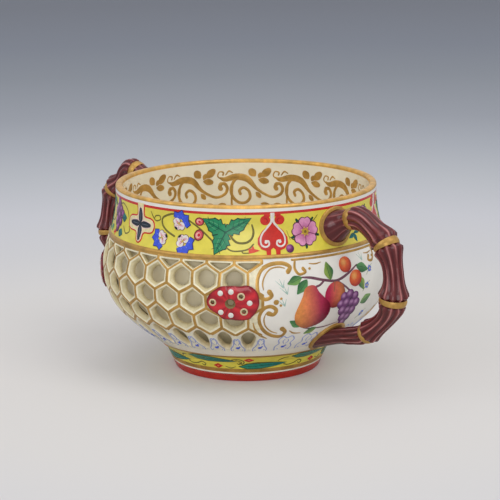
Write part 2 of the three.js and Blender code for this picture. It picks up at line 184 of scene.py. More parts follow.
class Skin:
    """Outer skin of the cup, with its radius and slope at each height."""

    curve_steps = 60
    samples = 900

    def __init__(self):
        s = cup()
        top, wide, belly = s.foot_radius + s.foot_flare, s.belly_radius, s.belly_height
        low = s.height - s.collar_straight
        lower = [(top, s.foot_height), (top + s.cove, s.foot_height + s.cove), (wide, belly - s.belly_pull)]
        upper = [(wide, belly), (wide, belly + s.shoulder_pull), (s.rim_radius, low - s.collar_pull)]
        points = [(s.foot_radius, 0), *bezier([*lower, (wide, belly)], self.curve_steps)]
        points += [*bezier([*upper, (s.rim_radius, low)], self.curve_steps)[1:], (s.rim_radius, s.height)]
        radii, heights = np.array(points).T
        self.heights = np.linspace(0, s.height, self.samples)
        self.radii = np.interp(self.heights, heights, radii)
        self.slopes = np.gradient(self.radii, self.heights)

    def radius(self, height):
        return float(np.interp(height, self.heights, self.radii))

    def across(self, height, off=0.0):
        """Radius and height of the place that stands off the skin at a height."""
        slope = np.interp(height, self.heights, self.slopes)
        size = np.sqrt(1 + slope**2)
        return np.interp(height, self.heights, self.radii) + off / size, height - off * slope / size

    def place(self, angle, height, off):
        """Points from a turn round the cup, a height and a distance off the skin."""
        radius, level = self.across(height, off)
        return np.stack([radius * np.sin(angle), -radius * np.cos(angle), level], 1)


class Inside:
    """Upright inner face of the cup, with turns that run to the right as it is seen from inside."""

    def place(self, angle, height, off):
        radius = cup().rim_radius - cup().collar_wall - off
        return np.stack([-radius * np.sin(angle), -radius * np.cos(angle), height], 1)


# Mesh work shared by the pieces

def join(target, part):
    """Adds one bmesh to another."""
    mesh = bpy.data.meshes.new("part")
    part.to_mesh(mesh)
    target.from_mesh(mesh)
    bpy.data.meshes.remove(mesh)
    part.free()


def painted_mesh():
    """Empty bmesh whose points carry a colour."""
    bm = bmesh.new()
    bm.verts.layers.float_color.new("paint")
    return bm


def paint_points(bm, verts, tones):
    """Gives points a colour each, or one for all."""
    layer = bm.verts.layers.float_color["paint"]
    for vert, tone in zip(verts, tones if isinstance(tones, list) else [tones] * len(verts)):
        vert[layer] = (*tone, 1)


def give_finish(bm, kind):
    """Gives all faces one of the piece's materials, and returns the mesh."""
    for face in bm.faces:
        face.material_index = kind
    return bm


def only_verts(geom):
    return [item for item in geom if isinstance(item, bmesh.types.BMVert)]


def wrap(bm, surface, sheet_radius, turn=0.0):
    """Bends a flat sheet round the cup: x along it, y up and z off the surface."""
    flat = np.array([v.co for v in bm.verts]).reshape(-1, 3)
    bent = surface.place(turn + flat[:, 0] / sheet_radius, flat[:, 1], flat[:, 2])
    for vert, place in zip(bm.verts, bent):
        vert.co = place


def closed_edges(bm, points):
    """Closed loop of edges through new points."""
    verts = [bm.verts.new(point) for point in points]
    return verts, [bm.edges.new(pair) for pair in zip(verts, verts[1:] + verts[:1])]


def loft(bm, loops, kind=None, tones=None):
    """Skin through closed loops of points, extruded from each one to the next."""
    ring, edges = closed_edges(bm, loops[0])
    for number, loop in enumerate(loops[1:]):
        if tones:
            paint_points(bm, ring, tones[number])
        made = bmesh.ops.extrude_edge_only(bm, edges=edges)["geom"]
        fresh = set(only_verts(made))
        ring = [next(e.other_vert(v) for e in v.link_edges if e.other_vert(v) in fresh) for v in ring]
        for vert, point in zip(ring, loop):
            vert.co = point
        for face in made if kind else ():
            if isinstance(face, bmesh.types.BMFace):
                face.material_index = kind(number, face.calc_center_median())
        edges = [bm.edges.get(pair) for pair in zip(ring, ring[1:] + ring[:1])]
    if tones:
        paint_points(bm, ring, tones[-1])


def slice_grid(bm, step_x, step_y):
    """Cuts a flat sheet along a grid, so that it can bend."""
    for axis, step in ((0, step_x), (1, step_y)):
        places = [v.co[axis] for v in bm.verts]
        low, high = min(places), max(places)
        normal = Vector((1 - axis, axis, 0))
        cuts = int((high - low) / step)
        for cut in range(1, cuts + 1):
            spot = normal * (low + cut * (high - low) / (cuts + 1))
            geom = bm.verts[:] + bm.edges[:] + bm.faces[:]
            bmesh.ops.bisect_plane(bm, geom=geom, dist=1e-7, plane_co=spot, plane_no=normal)


def sheet(loops, level):
    """Flat face of an outline and its holes."""
    bm = painted_mesh()
    for loop in loops:
        closed_edges(bm, [(x, y, level) for x, y in loop])
    bmesh.ops.triangle_fill(bm, edges=bm.edges[:], use_beauty=True, normal=(0, 0, 1))
    return bm


def slab(loops, low, high, step_x, step_y):
    """Flat plate of an outline and its holes, between two levels."""
    bm = sheet(loops, low)
    slice_grid(bm, step_x, step_y)
    made = bmesh.ops.extrude_face_region(bm, geom=bm.faces[:])["geom"]
    bmesh.ops.translate(bm, verts=only_verts(made), vec=(0, 0, high - low))
    bmesh.ops.recalc_face_normals(bm, faces=bm.faces[:])
    return bm


def spin_profile(rows):
    """Turned piece from rows of radius, height and the finish of the stretch that starts there."""
    bm = bmesh.new()
    points = [(float(radius), float(height)) for radius, height, kind in rows]
    verts = [bm.verts.new((radius, 0, height)) for radius, height in points]
    edges = [bm.edges.new(pair) for pair in zip(verts, verts[1:])]
    if points[0][0] > 0:
        edges.append(bm.edges.new((verts[-1], verts[0])))
        points.append(points[0])
    whole = {"cent": (0, 0, 0), "axis": (0, 0, 1), "angle": math.tau, "use_merge": True}
    bmesh.ops.spin(bm, geom=verts + edges, steps=cup().turn_steps, **whole)
    bmesh.ops.remove_doubles(bm, verts=bm.verts[:], dist=1e-7)
    bmesh.ops.recalc_face_normals(bm, faces=bm.faces[:])
    middles = (np.array(points[1:]) + np.array(points[:-1])) / 2
    for face in bm.faces:
        ends = {(round(math.hypot(v.co.x, v.co.y), 6), round(v.co.z, 6)) for v in face.verts}
        middle = np.mean(list(ends), axis=0)
        face.material_index = rows[int(np.argmin(((middles - middle) ** 2).sum(1)))][2]
    return bm


def finish_piece(name, bm, materials, replaced=(), sharp=35):
    """Makes a bmesh an object that rides on the cup, with soft shading between its sharp edges."""
    limit = math.radians(sharp)
    for face in bm.faces:
        face.smooth = True
    for edge in bm.edges:
        edge.smooth = not (edge.is_manifold and edge.calc_face_angle() > limit)
    piece = placed(name, mesh_of(name, bm, materials))
    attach(piece, BODY)
    if replaced:
        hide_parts(*replaced)


def mesh_of(name, bm, materials):
    """Mesh with its materials, from a bmesh that is used up."""
    mesh = bpy.data.meshes.new(name)
    bm.to_mesh(mesh)
    bm.free()
    for material in materials:
        mesh.materials.append(material)
    return mesh


def placed(name, data):
    """New object of the scene."""
    thing = bpy.data.objects.new(name, data)
    bpy.context.scene.collection.objects.link(thing)
    return thing


# Outlines and routes

def arc(centre, radius, start, end, steps):
    """Points of an arc, from and to angles in degrees."""
    angles = np.radians(np.linspace(start, end, steps + 1))
    return [(centre[0] + radius * math.cos(a), centre[1] + radius * math.sin(a)) for a in angles]


def oval(x, y, half_width, half_height, steps, angle=0):
    """Points of an ellipse, turned by an angle in degrees."""
    c, s = math.cos(math.radians(angle)), math.sin(math.radians(angle))
    ring = [(a * half_width, b * half_height) for a, b in arc((0, 0), 1, 0, 360, steps)[:-1]]
    return [(x + a * c - b * s, y + a * s + b * c) for a, b in ring]


def smooth_route(points, steps, closed=False):
    """Points of a smooth curve through the given ones."""
    knots = [Vector((*p, 0)[:3]) for p in points]
    if closed:
        knots = [knots[-1], *knots, knots[0], knots[1]]
    else:
        knots = [knots[0] * 2 - knots[1], *knots, knots[-1] * 2 - knots[-2]]
    route = []
    for before, start, end, after in zip(knots, knots[1:], knots[2:], knots[3:]):
        square = 2 * before - 5 * start + 4 * end - after
        cube = 3 * start - before - 3 * end + after
        for t in np.arange(steps) / steps:
            route.append(0.5 * (2 * start + (end - before) * t + square * t**2 + cube * t**3))
    return route if closed else [*route, knots[-2]]


def straight_route(points, spot, gap=1.2):
    """Points along straight lines, close enough to bend with the wall."""
    knots = [Vector(point) for point in points]
    route = [knots[0]]
    for start, end in zip(knots, knots[1:]):
        steps = max(1, round((spot.to_3x3() @ (end - start)).length / gap))
        route += [start.lerp(end, step / steps) for step in range(1, steps + 1)]
    return route


def smooth_loop(points, steps=3):
    """Smooth closed outline in x and y."""
    return [(p.x, p.y) for p in smooth_route(points, steps, closed=True)]


def straight_loop(corners, steps):
    """Points along the straight sides of a polygon."""
    loop = []
    for start, end in zip(corners, [*corners[1:], corners[0]]):
        for share in np.arange(steps) / steps:
            loop.append((start[0] + (end[0] - start[0]) * share, start[1] + (end[1] - start[1]) * share))
    return loop


def both_sides(half):
    """Outline from its right half and its mirror image across the middle line."""
    return half + [(-x, y) for x, y in reversed(half) if abs(x) > 1e-6]


# Materials

def feed(node, values):
    """Sets the inputs and settings of a node, or links them to outputs of other nodes."""
    for key, value in values.items():
        if isinstance(value, bpy.types.NodeSocket):
            node.id_data.links.new(value, node.inputs[key])
        elif isinstance(key, int) or key in node.inputs:
            node.inputs[key].default_value = value
        else:
            setattr(node, key, value)
    return node


def add(tree, kind, output, values):
    """Output of a new node with its inputs and settings."""
    return feed(tree.nodes.new("ShaderNode" + kind), values).outputs[output]


def set_stops(tree, source, stops):
    """Colour from a ramp of positions and tones."""
    ramp = feed(tree.nodes.new("ShaderNodeValToRGB"), {"Fac": source})
    while len(ramp.color_ramp.elements) < len(stops):
        ramp.color_ramp.elements.new(0.5)
    for stop, (position, tone) in zip(ramp.color_ramp.elements, stops):
        stop.position = position
        stop.color = (*tone, 1)
    return ramp.outputs["Color"]


def tree_of(name):
    """New node material, its tree and its shader."""
    material = bpy.data.materials.new(name)
    material.use_nodes = True
    return material, material.node_tree, material.node_tree.nodes["Principled BSDF"]


def surface(name, dark, light, scale, values, grain=350, relief=0.12, detail=3, painted=False, painted_glow=0):
    """Material that wanders between two tones, over the painted colours or alone, a little uneven."""
    if name in bpy.data.materials:
        return bpy.data.materials[name]
    material, tree, shader = tree_of(name)
    place = add(tree, "TexCoord", "Object", {})
    noise = {"Vector": place, "Scale": scale, "Detail": detail, "Roughness": 0.6}
    shown = set_stops(tree, add(tree, "TexNoise", "Fac", noise), ((0.35, dark), (0.68, light)))
    if painted:
        paint = add(tree, "Attribute", "Color", {"attribute_name": "paint"})
        mix = {"data_type": "RGBA", "blend_type": "MULTIPLY", "Factor": 1.0, 6: paint, 7: shown}
        shown = add(tree, "Mix", 2, mix)
    rough = add(tree, "TexNoise", "Fac", {"Vector": place, "Scale": grain, "Detail": 2})
    bump = add(tree, "Bump", "Normal", {"Strength": 0.3, "Distance": relief * MM, "Height": rough})
    # Painted glow: the material gives off light in its own colour
    if painted_glow:
        values = {**values, "Emission Color": shown, "Emission Strength": painted_glow}
    feed(shader, {"Base Color": shown, "Normal": bump, **values})
    return material


def tone(value, factor):
    return tuple(min(1.0, channel * factor) for channel in value)


def glaze(name, base, roughness=0.12, spread=0.07, scale=90, painted_glow=0):
    """Glossy glaze or enamel, a little uneven in tone."""
    tones = tone(base, 1 - spread), tone(base, 1 + spread / 2)
    return surface(name, *tones, scale, {"Roughness": roughness}, painted_glow=painted_glow)


def gold(name="gilding", bright=1):
    """Soft burnished gold, thin in places, or a brighter copy of it as a painted highlight."""
    base = tone(finishes().gilding, bright)
    values = {"Metallic": 0.5, "Roughness": 0.36}
    return surface(name, tone(base, 0.72), tone(base, 1.15), 300, values, 900, 0.08, 4)


def yellow_glaze():
    """Yellow enamel of the collar and the foot band."""
    return glaze("yellow_enamel", finishes().yellow, 0.24, 0.1, 220)


def drawn_glaze(name, roughness=0.24, light=1.06, scale=700, specular=0.4):
    """Glaze or enamel whose colours are held by the drawing itself."""
    values = {"Roughness": roughness, "Specular IOR Level": specular}
    return surface(name, (0.84,) * 3, (light,) * 3, scale, values, 500, 0.1, painted=True)


# Painting: thin shapes and lines in millimetres on a flat sheet

GOLD = (255, 255, 255)
FILM = 0.06
LAYER = 0.035
UNDER = -0.05


def mixed(first, second, share):
    share = min(1.0, max(0.0, share))
    return tuple(a + (b - a) * share for a, b in zip(first, second))


def product(strength, *shades):
    """Shading that multiplies others."""
    def shade(x, y):
        return tuple(math.prod(parts) * strength for parts in zip(*[part(x, y) for part in shades]))

    return shade


def ball_shade(light, middle, dark, half_width, half_height):
    """Shading of a round fruit, lit from the upper left."""
    light, middle, dark = linear(light), linear(middle), linear(dark)

    def shade(x, y):
        reach = math.hypot(x / half_width + 0.28, y / half_height - 0.32)
        return mixed(mixed(light, middle, (reach - 0.12) / 0.5), dark, (reach - 0.75) / 0.55)

    return shade


def side_shade(first, second, start, end):
    """Colour that runs from one tone to another along x."""
    first, second = linear(first), linear(second)
    return lambda x, y: mixed(first, second, (x - start) / (end - start))


def turned(spot, angle):
    """Place of a motif, turned by an angle in degrees."""
    return spot @ Matrix.Rotation(math.radians(angle), 4, "Z")


class Painting:
    """Enamels and gilding gathered on a flat sheet, and at last bent round the cup."""

    def __init__(self, surface, radius):
        self.surface, self.radius = surface, radius
        self.bm = painted_mesh()
        self.lines = {}
        self.round = Matrix.Diagonal((math.radians(radius), 1, 1, 1))

    def at(self, turn, height, angle=0, size=1):
        """Place of a motif: turn round the cup and height, its own turn in degrees, and its size."""
        spot = Matrix.Translation((math.radians(turn) * self.radius, height, 0))
        return turned(spot, angle) @ Matrix.Diagonal((size, size, 1, 1))

    def shape(self, outline, paint, level, spot, grid=1.7):
        """Filled outline of one colour, or of a colour that depends on the place."""
        size = spot.to_scale()
        part = slab([outline], UNDER, FILM + level * LAYER, grid / abs(size.x), grid / abs(size.y))
        tones = [paint(v.co.x, v.co.y) for v in part.verts] if callable(paint) else linear(paint)
        paint_points(part, part.verts, tones)
        bmesh.ops.transform(part, matrix=spot, verts=part.verts[:])
        join(self.bm, give_finish(part, int(paint is GOLD)))

    def dot(self, x, y, half_width, half_height, paint, level, spot, steps=8, angle=0, grid=1.7):
        """Filled ellipse."""
        self.shape(oval(x, y, half_width, half_height, steps, angle), paint, level, spot, grid)

    def line(self, points, width, paint, level, spot, steps=5, smooth=True):
        """Line through points, each of which may carry its own share of the width."""
        knots = [(*p, 1)[:3] for p in points]
        route = smooth_route(knots, steps) if smooth else straight_route(knots, spot)
        dots = [(spot @ Vector((p.x, p.y, 0)), max(0.04, abs(p.z) * width / 2)) for p in route]
        dots = self.round_end(self.round_end(dots[::-1])[::-1])
        self.lines.setdefault((paint, level), []).append(dots)

    def strokes(self, rows, paint, turn, way=1):
        """Lines from rows of a width and of points, as degrees onward from a turn and heights."""
        for width, *points in rows:
            self.line([(turn + way * x, *rest) for x, *rest in points], width, paint, 1, self.round)

    def round_end(self, dots):
        """Adds a rounded end after the last point."""
        last, radius = dots[-1]
        way = (last - dots[-2][0]).normalized()
        ends = ((0.55, 0.83), (0.95, 0.3))
        return dots + [(last + way * radius * reach, radius * size) for reach, size in ends]

    def draw_lines(self, paint, level, routes):
        """Round cords along the lines of one colour, pressed flat."""
        curve = bpy.data.curves.new("lines", "CURVE")
        curve.dimensions = "3D"
        curve.twist_mode = "Z_UP"
        curve.bevel_depth = 1
        curve.bevel_resolution = 1
        curve.use_fill_caps = True
        for dots in routes:
            spline = curve.splines.new("POLY")
            spline.points.add(len(dots) - 1)
            for point, (place, radius) in zip(spline.points, dots):
                point.co = (place.x, place.y, 0, 1)
                point.radius = radius
        holder = bpy.data.objects.new("lines", curve)
        part = painted_mesh()
        part.from_mesh(holder.to_mesh())
        holder.to_mesh_clear()
        bpy.data.objects.remove(holder)
        bpy.data.curves.remove(curve)
        bmesh.ops.remove_doubles(part, verts=part.verts[:], dist=1e-5)
        for vert in part.verts:
            pressed = (FILM + level * LAYER) * min(1.0, vert.co.z / 0.1)
            vert.co.z = pressed if vert.co.z > -1e-4 else UNDER
        paint_points(part, part.verts, linear(paint))
        join(self.bm, give_finish(part, int(paint is GOLD)))

    def finish(self, name):
        """Bends the sheet round the cup and makes it a piece."""
        for (paint, level), routes in self.lines.items():
            self.draw_lines(paint, level, routes)
        bmesh.ops.scale(self.bm, vec=(MM, MM, MM), verts=self.bm.verts[:])
        wrap(self.bm, self.surface, self.radius * MM)
        bmesh.ops.recalc_face_normals(self.bm, faces=self.bm.faces[:])
        finish_piece(name, self.bm, [drawn_glaze("painted_enamel"), gold()])


# Colours of the enamels, as the screen shows them

SLATE = (44, 50, 60)
PALE_SLATE = (96, 104, 116)
INK = (40, 40, 44)
RED = (205, 46, 36)
DARK_RED = (160, 30, 26)
CARMINE = (196, 44, 56)
CHERRY = (206, 58, 64)
CORAL = (214, 84, 92)
PEACH = (238, 176, 166)
BLUSH = (236, 206, 196)
MAROON = (112, 40, 40)
BROWN = (120, 62, 70)
BRANCH = (116, 74, 88)
STALK = (96, 60, 40)
NAVY = (24, 30, 84)
BLUE = (62, 88, 214)
SKY = (150, 160, 232)
FORGET_ME_NOT = (104, 128, 204)
PALE_PINK = (228, 178, 196)
PINK = (224, 150, 186)
MAUVE = (176, 84, 136)
MAGENTA = (170, 74, 126)
WINE = (110, 46, 80)
PLUM = (92, 44, 70)
CREAM = (230, 222, 214)
PALE = (233, 220, 168)
GREEN = (38, 138, 92)
DARK_GREEN = (18, 88, 66)
LIGHT_GREEN = (128, 172, 92)
LEAF_EDGE = (19, 59, 48)
LEAF_LIGHT = (91.2, 166.7, 119.3)
SEPAL = (26, 74, 48)
SEA_GREEN = (40, 140, 112)
TEAL = (30, 122, 118)
DARK_TEAL = (16, 84, 84)
OLIVE = (112, 104, 40)
OCHRE = (188, 150, 50)
DARK_OCHRE = (120, 98, 34)
STRAW = (196, 170, 70)
GOLDEN = (222, 190, 90)
VERMILION = (222, 66, 34)
BERRY = ((196, 120, 190), (120, 42, 104), (74, 22, 66))
GRAPE = ((204, 150, 198), (116, 50, 116), (62, 22, 66))
APRICOT = ((248, 178, 96), (226, 92, 40), (164, 36, 30))
PEAR_SHADE = ((255, 235, 225), (232, 214, 206), (150, 120, 130))
PEACH_SHADE = ((255, 236, 232), (232, 214, 206), (140, 110, 126))


# Motifs, in millimetres round their own middle

def pointed(reach, half_width, shares):
    """Smooth outline that grows along x from the origin, from shares of its reach and half width."""
    edge = [(x * reach, y * half_width) for x, y in shares]
    return smooth_loop([(0, 0), *edge, (reach, 0), *[(x, -y) for x, y in reversed(edge)]])


def petal(reach, half_width, full=0.55):
    """Outline of a petal, widest at a share of its reach."""
    return pointed(reach, half_width, ((0.04, 0.22), (full * 0.5, 0.8), (full, 1), (0.88, 0.62)))


def cross_motif(art, spot):
    """Slate cross in a white ground, edged with red and open to the white strip above."""
    half = [(1.9, 6.6), (1.75, 3.6), (2.6, 2.6), (5.3, 2.3), (6.7, 1.5), (7.2, 0), (6.7, -1.7), (5.3, -2.5)]
    half += [(2.6, -2.7), (1.7, -3.6), (1.5, -4.9), (0.8, -5.9), (0, -6.2)]
    edge = both_sides(half)
    art.shape([(0, 7.1), (1.9, 7.1), *edge, (-1.9, 7.1)], PALE, 2, spot)
    art.line(edge, 0.62, RED, 3, spot, steps=3)
    for turn in (0, 90, 180, 270):
        arm = turned(spot, turn)
        art.shape(petal(5.8, 1.5, 0.4), BLUSH, 3, arm)
        art.shape(petal(5.6, 1.1, 0.4), SLATE, 4, arm)
        art.line([(0.8, 0, 0.5), (3, 0), (4.6, 0, 0.3)], 0.45, PALE_SLATE, 5, arm)


def blossom(art, spot):
    """Small flower with a jagged blue hood over a pale face."""
    hood = [(-2.7, -0.3), (-3.4, 1.2), (-2.2, 1.7), (-1.5, 3.2), (-0.2, 2.5), (1.1, 3.3), (2, 1.9)]
    hood += [(3.3, 1.4), (2.8, -0.2), (1.5, 0.3), (0, 0.9), (-1.5, 0.3)]
    hood = [(x * 1.08, y * 1.12) for x, y in hood]
    art.shape([(x * 1.09, y * 1.07 + 0.05) for x, y in hood], NAVY, 1, spot, grid=2.5)
    art.shape(hood, BLUE, 2, spot, grid=2.5)
    for x, y, turn, level in ((-1.3, -0.7, 50, 1.6), (1.3, -0.7, -50, 1.6), (0, -1.9, 0, 2)):
        art.dot(x, y, 1.55, 1.25, BROWN, level, spot, 12, turn)
        art.dot(x, y, 1.36, 1.08, CREAM, level + 0.6, spot, 12, turn)
    for x, y, turn in ((-1.5, -0.6, 130), (1.5, -0.6, 50), (-0.5, -2.1, 250), (0.6, -2, 290)):
        art.dot(x, y, 0.55, 0.3, PALE_PINK, 3, spot, 8, turn)
    stamens = ((-0.4, -0.7, -0.8), (-0.5, -1.1, -0.64), (0.4, -0.7, 0.8), (0.5, -1.1, 0.64), (0, -1.5, 0.08))
    for x, y, reach in stamens:
        art.line([(x, y), (x + reach, y + 0.15, 0.5)], 0.42, CHERRY, 4, spot)
    art.dot(0, -0.75, 0.42, 0.4, STRAW, 5, spot)
    art.dot(0, -2.75, 0.7, 0.42, INK, 4, spot, 10)
    for x, y in ((-1.9, 1.1), (0, 1.9), (1.9, 1.1)):
        art.line([(x * 0.6, y * 0.6, 0.4), (x, y, 0.8)], 0.3, SKY, 3, spot)


def bud(art, spot, size):
    """Round bud of four shells."""
    shells = ((0, 0, 1.18, 1, MAROON, 12), (0, 0, 0.92, 0.76, CORAL, 12))
    shells += ((-0.1, 0.08, 0.62, 0.5, PEACH, 10), (0.04, -0.04, 0.36, 0.3, CARMINE, 8))
    for level, (x, y, wide, high, paint, steps) in enumerate(shells, 1):
        art.dot(x * size, y * size, wide * size, high * size, paint, level, spot, steps)


def leaf_lobe(reach, half_width, teeth=4):
    """Outline of a toothed lobe that grows along x."""
    side = [(0, 0.2 * half_width)]
    for tooth in range(teeth):
        share = (tooth + 0.8) / (teeth + 0.7)
        wide = half_width * (0.5 + 0.5 * math.sin(math.pi * share)) * min(1.0, 1.9 * (1 - share))
        side += [(share * reach, wide), ((share + 0.06) * reach, wide * 0.76)]
    return [*side, (reach, 0), *[(x, -y) for x, y in reversed(side)]]


def toothed_leaf(art, spot, *tips):
    """Leaf of toothed lobes that meet in its heart, with darker edges and veins."""
    for number, (x, y, half_width) in enumerate(tips):
        reach = math.hypot(x, y)
        lobe = turned(spot, math.degrees(math.atan2(y, x)))
        outline = leaf_lobe(reach, half_width)
        art.shape([(x * 1.06 - 0.15, y * 1.16) for x, y in outline], LEAF_EDGE, 0, lobe, grid=2.6)
        art.shape(outline, GREEN, 1 + number * 0.2, lobe, grid=2.6)
        art.line([(-0.3, 0, 1.2), (reach * 0.5, 0), (reach * 0.92, 0, 0.3)], 0.5, DARK_GREEN, 3, lobe)
        for side in (-half_width, half_width):
            for share in (0.28, 0.5, 0.7):
                tip = ((share + 0.17) * reach, (0.75 - 0.35 * share) * side, 0.4)
                art.line([(share * reach, 0), tip], 0.36, DARK_GREEN, 3, lobe)
            pale = ((0.3, 0.3, 0.4), (0.6, 0.26, 0.9), (0.8, 0.1, 0.3))
            art.line([(x * reach, y * side, size) for x, y, size in pale], 0.42, LEAF_LIGHT, 2.5, lobe)


def heart_motif(art, spot):
    """Red onion shape with white scrolls that spring from the strip above, between two round ears."""
    half = [(0, 4.4), (1.3, 2.9), (3.6, 0.9), (5.1, -1.4), (5.2, -3.4), (4, -5), (2.4, -5.6), (2.3, -6.9)]
    art.shape(both_sides([*half, (0.9, -6.9), (0.8, -5.3), (0, -4.6)]), RED, 1, spot)
    art.shape(both_sides([(0, 7), (0.75, 7), (0.5, 4.6), (0, 3.6)]), CREAM, 3, spot)
    scroll = [(0.25, 5.2), (0.5, 3.6), (1.9, 1.9), (3.5, 0.1), (4.2, -1.9), (3.9, -3.6), (2.6, -4.3)]
    for side in (-1, 1):
        flank = spot @ Matrix.Diagonal((side, 1, 1, 1))
        art.dot(2.5 * side, 4.5, 1.75, 1.65, RED, 1, spot, 16)
        art.line([(2.5, 6.2), (1.2, 6)], 0.9, RED, 1, flank)
        art.line([(3.1, 4.9, 0.3), (2.2, 5.1), (1.7, 4.2, 0.9), (2.4, 3.6, 0.4)], 0.4, DARK_RED, 2, flank)
        art.line([*scroll, (1.4, -3.7), (1.5, -2.5), (2.5, -2.3, 0.8)], 0.82, CREAM, 3, flank)
        art.dot(2.35 * side, -2.75, 0.55, 0.5, CREAM, 3, spot, 10)


def rose(art, spot):
    """Pink flower with five notched petals and dark sepals between them."""
    outline = [(0.6, -0.4), (2.2, -1.9), (3.9, -2), (4.7, -0.9), (4.35, 0), (4.7, 0.9), (3.9, 2), (2.2, 1.9)]
    outline = smooth_loop([*outline, (0.6, 0.4)], 2)
    for turn in range(90, 450, 72):
        arm, between = turned(spot, turn), turned(spot, turn + 36)
        art.shape([(1.5, -1.1), (5.7, -0.2), (5.5, 0.4), (1.5, 1.1)], SEPAL, 0, between, grid=3)
        art.shape([(x * 1.06, y * 1.13) for x, y in outline], PLUM, 1, arm)
        art.shape(outline, side_shade(MAUVE, PINK, 0.8, 3.6), 2, arm, grid=1.2)
        for y in (-0.8, 0, 0.8):
            art.line([(1.2, y * 0.5), (3, y, 0.3)], 0.26, MAGENTA, 3, arm)
        art.line([(1.3, 0, 0.8), (3, 0), (4.3, 0, 0.6)], 0.34, WINE, 3.5, between)
    art.dot(0, 0, 1.25, 1.2, OCHRE, 4, spot, 12)
    for x, y in arc((0, 0), 1.45, 0, 308.4, 6):
        art.dot(x, y, 0.24, 0.24, GOLDEN, 5, spot, 6)
    art.dot(0, 0, 0.5, 0.5, DARK_OCHRE, 5, spot)


def ball(art, spot, size, tones=BERRY, level=1, grid=0.7, wide=1, steps=14):
    """Round berry or fruit."""
    art.dot(0, 0, size * wide, size, ball_shade(*tones, size, size), level, spot, steps, grid=grid)


def orange_bud(art, spot):
    """Small orange bud with a split tip."""
    outline = [(-1.6, -1), (0.2, -0.7), (2.2, -0.1), (0.3, 0.5), (-0.1, 1.5), (-0.9, 0.5), (-1.7, 0.8)]
    art.shape(outline, VERMILION, 1, spot, grid=3)


def plain_leaf(art, spot, reach, half_width, green=TEAL, dark=DARK_TEAL, level=1):
    """Pointed leaf that grows along x, light on one side and dark on the other."""
    outline = pointed(reach, half_width, ((0.25, 0.75), (0.5, 1), (0.8, 0.5)))
    light, shadow = linear(green), linear(dark)
    art.shape(outline, lambda x, y: mixed(shadow, light, 0.5 + 0.7 * y / half_width), level, spot, grid=1)
    art.line([(0, 0), (0.5 * reach, 0.08 * half_width), (0.95 * reach, 0, 0.4)], 0.25, dark, level + 1, spot)


def grapes(art, spot):
    """Cluster of purple berries."""
    places = [(0, -2.9), (-1.5, -1.4), (1.5, -1.3), (0, 0), (-2.6, 0.8), (2.7, 0.9), (-1.2, 1.9)]
    places += [(1.3, 2), (0, 3.6)]
    for number, (x, y) in enumerate(places):
        ball(art, spot @ Matrix.Translation((x, y, 0)), 1.35 + 0.12 * math.sin(number * 2.4))


# Painted and gilded pieces

